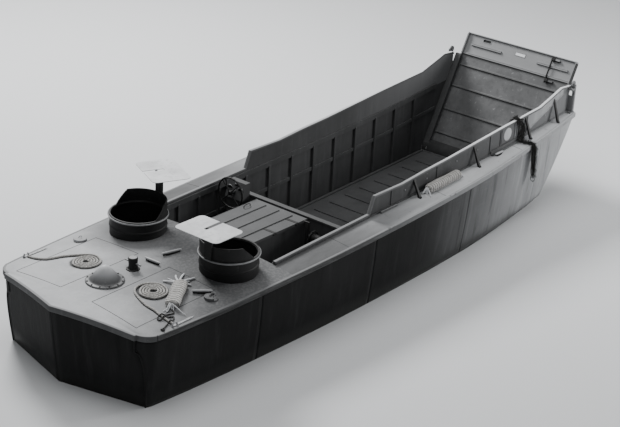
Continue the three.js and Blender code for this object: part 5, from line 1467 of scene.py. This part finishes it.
def carriages():
    """Carriage: a flat ring on the tub's rim, a half wall, a post plate and the pivot. Then the rim's hoop, in
    pale steel as a painted highlight.
    """
    base, top, axis = TUB_RIM + 0.0006, 1.645, SHIELD_AXIS_Z
    ring = revolve([(0.392, base), (0.424, base), (0.4245, base + 0.008), (0.42, base + 0.0145),
                    (0.396, base + 0.0145), (0.392, base + 0.01)], sides=96, closed=True)
    cap = tube(circle(0.4035, np.linspace(-1.2, 1.2, 60), top), 0.011, 10)
    plate = boxes([(0.403, -0.065, base + 0.005, 0.435, 0.065, axis - 0.045),
                   (0.405, -0.045, axis - 0.05, 0.435, 0.045, axis - 0.005)])
    pins = [bar((SHIELD_POST, -half, axis), (SHIELD_POST, half, axis), radius, sides)
            for half, radius, sides in ((0.045, 0.018, 20), (0.072, 0.009, 14))]
    heads = studs([(0.435, y, z) for y in (-0.045, 0.045) for z in (1.5, 1.58, 1.66, 1.74, 1.82)], ALONG)
    # Pale hoop over the tub's rolled rim: a painted highlight.
    hoop = tube(circle(0.426, np.linspace(0, 2 * math.pi, 97), TUB_RIM - 0.01), 0.0125, 10)
    forms = [ring, half_wall(base + 0.005, top), cap, plate, *pins, heads]
    for side, sign in SIDES:
        piece("carriage_" + side, forms, DARK, "dark_steel", body="mount_" + side,
              stands_for=("gun_carriage_" + side,), place=put(sign), crease=40)
        piece("tub_rim_" + side, hoop, RIM, "dark_steel", place=put(sign))


def shield_outline(aside, size):
    """Shield's plan in the frame of its post: a rectangle with round corners, moved out and aside, and a
    round-ended slot that opens on its inner side."""
    corner, slot, reach, outward = 0.08, 0.029, 0.325, 0.045
    deep, wide = 0.29 * size, 0.4 * size
    plan = rounded(2 * deep, 2 * wide, corner, 9) + (0, aside)
    heading = np.arctan2(plan[:, 1], plan[:, 0]) % (2 * math.pi)
    plan = plan[np.argsort(heading)]
    before = np.count_nonzero(heading < math.pi)
    cut = circle(slot, np.linspace(math.pi / 2, -math.pi / 2, 9)) + (reach - slot - deep, 0)
    return np.concatenate([plan[:before], [(-deep, slot)], cut, [(-deep, -slot)], plan[before:]]) + (outward, 0)


def shields():
    """Shield: a rounded plate with its slot, turned about the post, two hinge ears and a stiffening strap."""
    axis, post, arc = SHIELD_AXIS_Z, SHIELD_POST, np.linspace(math.pi, 2 * math.pi, 12)
    for (side, sign), lift, turn, aside, size in zip(
            SIDES, (0.095, 0.035), (-25, 0), (-0.035, 0.035), (1.0, 0.975)):
        under = axis + lift
        spots = [(0.125, aside + y, under + 0.008) for y in (-0.28, -0.14, 0, 0.14, 0.28)]
        plate = [prism(shield_outline(aside, size), 2, under, under + 0.008),
                 boxes([(0.11, aside - 0.3, under - 0.005, 0.14, aside + 0.3, under + 0.001)]),
                 studs(spots, UP, 0.008, 0.003)]
        outline = np.concatenate([circle(0.02, arc) + (post, axis),
                                  [(post + 0.02, under + 0.002), (post - 0.02, under + 0.002)]])
        ears = [prism(outline, 1, y - 0.006, y + 0.006) for y in (-0.06, 0.06)]
        forms = [form.moved(place_at((post, 0, 0), "Z", turn)) for form in plate] + ears
        piece("shield_" + side, forms, SHIELD, "shield_paint", body="shield_" + side,
              stands_for=("gun_shield_" + side,), place=put(sign), bevel=0.0015, crease=40)


# Fittings

def vent_dome():
    """Bell-shaped vent: a smooth profile of revolution over a thick bolted flange."""
    x, y = -4.463, 0.02
    base = deck_top(x, y)
    bell = smooth_path([(0.222, 0.026), (0.208, 0.032), (0.19, 0.055), (0.152, 0.106), (0.112, 0.156),
                        (0.072, 0.199), (0.038, 0.222), (0.012, 0.2305)], 0.012)
    flange = [(0, -0.04), (0.262, -0.04), (0.267, -0.034), (0.267, 0.014), (0.261, 0.021), (0.25, 0.024),
              (0.232, 0.024)]
    form = revolve(np.concatenate([flange, bell, [(0, 0.231)]]), (x, y, base), 96)
    piece("vent_bell", form, VENT_PAINT, "deck_paint", stands_for=("vent_dome",), crease=50)
    heads = studs(circle(0.243, full_turn(12), 0.024) + (x, y, base), UP, 0.013, 0.01)
    piece("vent_bolts", heads, DARK, "dark_steel")


def mooring_bitt():
    """Bitt: a waisted post of revolution on a round foot, with a pale top that is painted light, a cross
    pin and bolts.
    """
    x, y = -3.955, 0.008
    base = deck_top(x, y)
    waist = smooth_path([(0.068, 0.018), (0.0625, 0.06), (0.0625, 0.09), (0.066, 0.13), (0.067, 0.168)], 0.01)
    foot = [(0, -0.02), (0.096, -0.02), (0.096, 0.009), (0.091, 0.014), (0.075, 0.015)]
    post = revolve(np.concatenate([foot, waist, [(0.064, 0.175), (0.056, 0.178), (0, 0.178)]]), (x, y, base))
    heads = studs(circle(0.083, full_turn(6), 0.014) + (x, y, base), UP, 0.009, 0.006)
    piece("bitt_post", [post, heads], DARK, "dark_steel", stands_for=("mooring_bitt",), bevel=0.002)
    # Pale top: painted light on the face that looks up.
    top = revolve([(0, 0.17), (0.05, 0.17), (0.055, 0.1785), (0.052, 0.181), (0, 0.182)], (x, y, base), 40)
    pin = bar((x, y - 0.15, base + 0.098), (x, y + 0.15, base + 0.098), 0.012, 16)
    piece("bitt_pale_top_and_pin", [top, pin], RIM, "dark_steel", bevel=0.002)


def cleats():
    """Cleat at a place, heading and length: horns as a tube that thins and rises to its tips, on a long web and
    a foot plate."""
    for name, (x, y, heading, long) in CLEATS.items():
        half, s = long / 2, np.linspace(-1, 1, 33)
        thick = 0.0185 * np.sqrt(np.maximum(1 - s ** 8, 0.02)) * (1 - 0.25 * s ** 2)
        horns = tube(coords(half * s, 0.0, 0.039 + 0.004 * s ** 4), thick, 14)
        foot = [prism(rounded(1.7 * half, 0.02, 0.009), 2, 0.009, 0.034),
                prism(rounded(1.1 * half, 0.044, 0.02), 2, -0.015, 0.01),
                studs([(k * half, 0, 0.01) for k in (-0.475, 0, 0.475)], UP, 0.008, 0.004)]
        place = place_at((x, y, deck_top(x, y)), "Z", heading)
        piece("horn_cleat_" + name, foot, DARK, "dark_steel", stands_for=("cleat_" + name,), place=place,
              crease=50)
        piece("cleat_horns_" + name, horns, HORN, "dark_steel", place=place, crease=50)


def chocks():
    """Chock: a base plate pointed at both ends, and two horns that curve towards each other over the line."""
    at, s = -4.47, np.linspace(0, 1, 10)
    outline = np.array([(-0.212, 0), (-0.152, -0.016), (0.152, -0.016), (0.212, 0), (0.152, 0.016),
                        (-0.152, 0.016)])
    for side, sign in SIDES:
        y = sign * 1.428
        base = deck_top(at, y)
        forms = [prism(outline + (at, y), 2, base - 0.025, base + 0.013),
                 studs([(at + x, y, base + 0.013) for x in (-0.04, 0.06, 0.14)], UP, 0.008, 0.004)]
        for x, lean in ((-0.19, 0.018), (-0.105, -0.018)):
            path = coords(at + x + lean * s ** 2, y, base + 0.008 + 0.044 * s)
            forms.append(tube(path, 0.0135 - 0.003 * s ** 3, 14, ASIDE))
        piece("line_chock_" + side, forms, HORN, "dark_steel", stands_for=("chock_" + side,), bevel=0.003,
              crease=40)


def hoisting_pads():
    """Hoisting pad: a low crowned drum with a crescent left standing round its hollow, where an eye is. The
    crescent's tips are where the drum's circle and the hollow's cross."""
    wide, hollow = 0.095, 0.085
    x, far = PAD_X, math.hypot(0.04, 0.045)
    tip = math.acos((wide ** 2 + far ** 2 - hollow ** 2) / (2 * wide * far))
    bite = math.acos((hollow ** 2 + far ** 2 - wide ** 2) / (2 * hollow * far))
    for side, sign in SIDES:
        y = sign * PAD_Y
        base = deck_top(x, y)
        facing = math.atan2(sign * 0.045, 0.04)
        outer = circle(wide, facing + np.linspace(tip, 2 * math.pi - tip, 40))
        inner = circle(hollow, facing + np.linspace(math.pi + bite, math.pi - bite, 24)[1:-1])
        inner = inner + (0.04, sign * 0.045)
        standing = prism(np.concatenate([outer, inner]) + (x, y), 2, base - 0.02, base + 0.037)
        drum = revolve([(0, -0.02), (wide - 0.001, -0.02), (wide - 0.001, 0.008), (wide - 0.006, 0.0125),
                        (0, 0.0125)], (x, y, base))
        piece("pad_" + side, [standing, drum], DECK, "deck_paint", stands_for=("hoisting_pad_" + side,),
              bevel=0.004, crease=40)
        along, up, out = ring_parts(0.026, 0.006, full_turn(24)[:, None], full_turn(10))
        eye = coords(x + 0.035 + along, y + sign * 0.035 + out, base + 0.026 + 0.6 * np.abs(up))
        piece("pad_eye_" + side, rings(eye, along=True), STEEL, "dark_steel", crease=60)


def square_to(ahead):
    """The two directions square to a level heading: level to its right, and up."""
    side = unit(np.cross(ahead, UP))
    return side, np.cross(side, ahead)


def fender_body(start, end, radius, flat, neck):
    """Woven fender: a tube along its axis, flattened in height, drawn in at both ends, its radius lifted by
    rows of loops that lie side by side in columns and slant like plaits."""
    a, b = (np.array((*spot, deck_top(*spot) + radius * flat - 0.004)) for spot in (start, end))
    long = np.linalg.norm(b - a)
    s = np.linspace(-1, 1, 260)
    near = np.clip((1 - np.abs(s)) * long / 2 / (0.75 * radius), 0, 1)
    body = radius * (neck + (0.97 - neck) * np.sqrt(1 - (1 - near) ** 2)) * (1 - 0.03 * np.sin(5 * s))
    turn, s = full_turn(120)[None], s[:, None]
    slant = np.abs((3 * turn / math.pi) % 2 - 1)
    ladder = np.abs(np.sin(math.pi * long * (s + 1) / (2 * FENDER_RIB) + 1.3 * slant)) ** 0.6
    column = np.abs(np.sin(3 * turn)) ** 0.35
    r = (body[:, None] * (0.8 + 0.2 * ladder * (0.55 + 0.45 * column)))[..., None]
    side, high = square_to(unit(b - a))
    points = (a + (b - a) * (s + 1) / 2)[:, None] + r * (
        np.cos(turn)[..., None] * side + flat * np.sin(turn)[..., None] * high)
    points[..., 2] = np.maximum(points[..., 2], deck_top(points[..., 0], points[..., 1]) + 0.003)
    return rings(points, start=points[0].mean(0), end=points[-1].mean(0), size=(1.0, long)), a, b


def whipping(centre, ahead, radius, flat):
    """Seizing round a fender's neck: turns of thin cord side by side, each an ellipse."""
    turns, thick = 4, 0.007
    turn = np.linspace(0, 2 * math.pi, 49)[:, None]
    side, high = square_to(ahead)
    forms = []
    for k in range(turns):
        middle = centre + ahead * (k - (turns - 1) / 2) * 1.9 * thick
        path = middle + radius * (np.cos(turn) * side + flat * np.sin(turn) * high)
        path[:, 2] = np.maximum(path[:, 2], deck_top(path[:, 0], path[:, 1]) + thick)
        forms.append(tube(path, thick, 8, ahead))
    return forms


def loose_strands(start, ahead, reach):
    """Unlaid strands: each leaves the fender's end within a cone, sags in a parabola and lies on the deck."""
    count, spread, thick = 9, 1.2, 0.011
    rng = np.random.default_rng(5)
    side, _ = square_to(ahead)
    forms = []
    t = np.linspace(0, 1, 14)[:, None]
    for _ in range(count):
        lean = rng.uniform(-spread, spread)
        long = reach * rng.uniform(0.55, 1.0)
        curl = rng.uniform(-0.45, 0.45) * long
        line = start + t * long * (ahead + lean * side) + curl * t ** 2 * side
        line = line + rng.uniform(-0.025, 0.025) * side
        line[:, 2] = start[2] + 0.012 - 0.09 * t[:, 0] ** 1.5 + rng.uniform(0, 0.012)
        low = deck_top(line[:, 0], np.minimum(np.abs(line[:, 1]), deck_half(line[:, 0]))) + 1.2 * thick
        line[:, 2] = np.maximum(line[:, 2], low + rng.uniform(0, 0.006))
        forms.append(tube(line, thick * (1 - 0.6 * t[:, 0] ** 2), 7))
    return forms


def head_strands():
    """Thick strand ends at the aft fender's head: each leaves the head and comes down to its tip on deck."""
    s = np.linspace(0, 1, 12)
    forms = []
    for tip in STRAND_TIPS:
        x, y = (start + (stop - start) * s + bow * np.sin(math.pi * s)
                for start, stop, bow in zip(STRAND_ROOT, tip, (0, 0.02)))
        path = coords(x, y, deck_top(x, y) + 0.017 + 0.045 * (1 - s) ** 2)
        forms.append(tube(path, 0.0155 * (1 - 0.25 * s ** 4), 10))
    return forms


def fenders():
    for name, data in FENDERS.items():
        form, a, b = fender_body(**data)
        forms, loose = [form], []
        for end, away in ((a, unit(a - b)), (b, unit(b - a))):
            forms += whipping(end - away * 0.02, away, 0.56 * data["radius"], data["flat"])
            loose += loose_strands(end - away * 0.01, away, 0.15 if name == "aft" else 0.1)
        if name == "aft":
            loose += head_strands()
        piece("fender_strands_" + name, loose, STRAND, "rope", crease=120)
        piece("woven_fender_" + name, forms, WOVEN, "rope", stands_for=("rope_fender_" + name,), crease=120)


def fender_lanyard():
    """Tarred lanyard of the aft fender: from the fender's foot it wanders over the deck, rises in a bell curve
    where it crosses the mooring line, and ends in a wall knot."""
    plan = smooth_path(LANYARD, 0.006)
    apart = np.linalg.norm(plan[:, None] - smooth_path(LEADS["starboard"], 0.006), axis=-1).min(1)
    path = coords(*plan.T, deck_top(*plan.T) + 0.0125 + 0.0335 * np.exp(-(apart / 0.035) ** 2))
    rope = piece("fender_lanyard", laid_rope(path, 0.01), DARK_ROPE, "dark_rope", crease=80)
    turn = np.linspace(0, 2 * math.pi, 60)
    wall = circle(0.019 * (1 + 0.25 * np.cos(3 * turn)), turn, 0.008 * np.sin(3 * turn))
    knot = piece("fender_lanyard_knot", tube(wall + path[-1] + 0.012 * unit(path[-1] - path[-4]), 0.009, 9),
                 DARK_ROPE, "dark_rope", crease=80)


# Under water

def screw():
    """Propeller: three blades whose lens-shaped sections turn from steep at the hub to flat at the tip, on a
    hub of revolution, about the tilted shaft."""
    radius, pitch, thick = np.transpose([(0.04, 62, 0.013), (0.11, 48, 0.009), (0.19, 36, 0.0075),
                                         (0.255, 30, 0.006), (0.28, 28, 0.004)])
    out = np.linspace(0.04, 0.28, 26)[:, None]
    root = np.interp(out, (0.04, 0.11, 0.19), (0.12, 0.19, 0.22))
    tip = 0.22 * np.sqrt(np.maximum(1 - ((out - 0.19) / 0.0915) ** 2, 0.0)) + 0.002
    chord = np.where(out > 0.19, tip, root)
    turn = full_turn(24)
    along, off = chord / 2 * np.cos(turn), np.interp(out, radius, thick) * np.sin(turn)
    lean = np.radians(np.interp(out, radius, pitch))
    points = coords(along * np.sin(lean) - off * np.cos(lean), along * np.cos(lean) + off * np.sin(lean), out)
    blade = rings(points, start=(0, 0, 0.035), end=(0, 0, 0.2805))
    hub = revolve([(0, -0.135), (0.018, -0.13), (0.03, -0.12), (0.045, -0.09), (0.055, -0.06), (0.055, 0.07),
                   (0.05, 0.075), (0.022, 0.075), (0.022, 0.48), (0, 0.48)], sides=40)
    forms = [blade.moved(Matrix.Rotation(turn, 4, "X")) for turn in full_turn(3)]
    forms.append(hub.moved(Matrix.Rotation(math.pi / 2, 4, "Y")))
    piece("screw", forms, BRONZE, "bronze", body="propeller", stands_for=("propeller",),
          place=place_at((-4.33, 0, -0.53), "Y", -8), crease=50)


def rudder_blade():
    """Rudder: a foil section, thickest near its nose, with a rounded heel, and its two round pintles."""
    x = -4.86
    s = np.linspace(0, 1, 24)
    half = 0.022 * 1.75 * (np.sqrt(s) - s ** 1.6 * 0.85) / 0.75
    half[-1] = 0.0015
    outline = np.concatenate([coords(x + 0.09 - 0.39 * s, half), coords(x + 0.09 - 0.39 * s, -half)[-1:0:-1]])
    levels = ((-0.83, 0.06), (-0.8, 0), (-0.55, 0), (-0.4, 0), (-0.28, 0), (-0.25, 0.03))
    middle = (x + 0.02, 0.0)
    points = np.array([coords(*(middle + (outline - middle) * (1 - pull)).T, z) for z, pull in levels])
    blade = rings(points, start=points[0].mean(0), end=points[-1].mean(0))
    stocks = [bar((x, 0, low), (x, 0, high), 0.02, 24) for low, high in ((-0.81, 0.05), (-0.885, -0.81))]
    collar = revolve([(0, -0.3), (0.034, -0.3), (0.034, -0.25), (0.026, -0.24), (0.026, 0.049), (0, 0.049)],
                     (x, 0, 0), 32)
    straps = boxes([(x - 0.22, -0.024, z - 0.02, x + 0.05, 0.024, z + 0.02) for z in (-0.42, -0.68)])
    piece("rudder_blade", [blade, *stocks, collar, straps], BOTTOM, "steel_paint", body="rudder",
          stands_for=("rudder",), bevel=0.002, crease=40)


camera()
mooring_line("port")
mooring_line("starboard")
chafing_rope()
fender_lanyard()
for make in (
        dress_nodes, lighting, floor, hull_skins, rub_rails, aft_deck, deck_seams, side_decks, coaming_caps,
        coaming_straps, coaming_boards, deck_odds, well_sides, floor_boards, engine_cover, console_dials, helm,
        winch, ramp_details, sill_flap, painted_shadows, bow_fittings, tubs, carriages, shields, vent_dome, mooring_bitt,
        cleats, chocks, hoisting_pads, fenders, screw, rudder_blade):
    make()
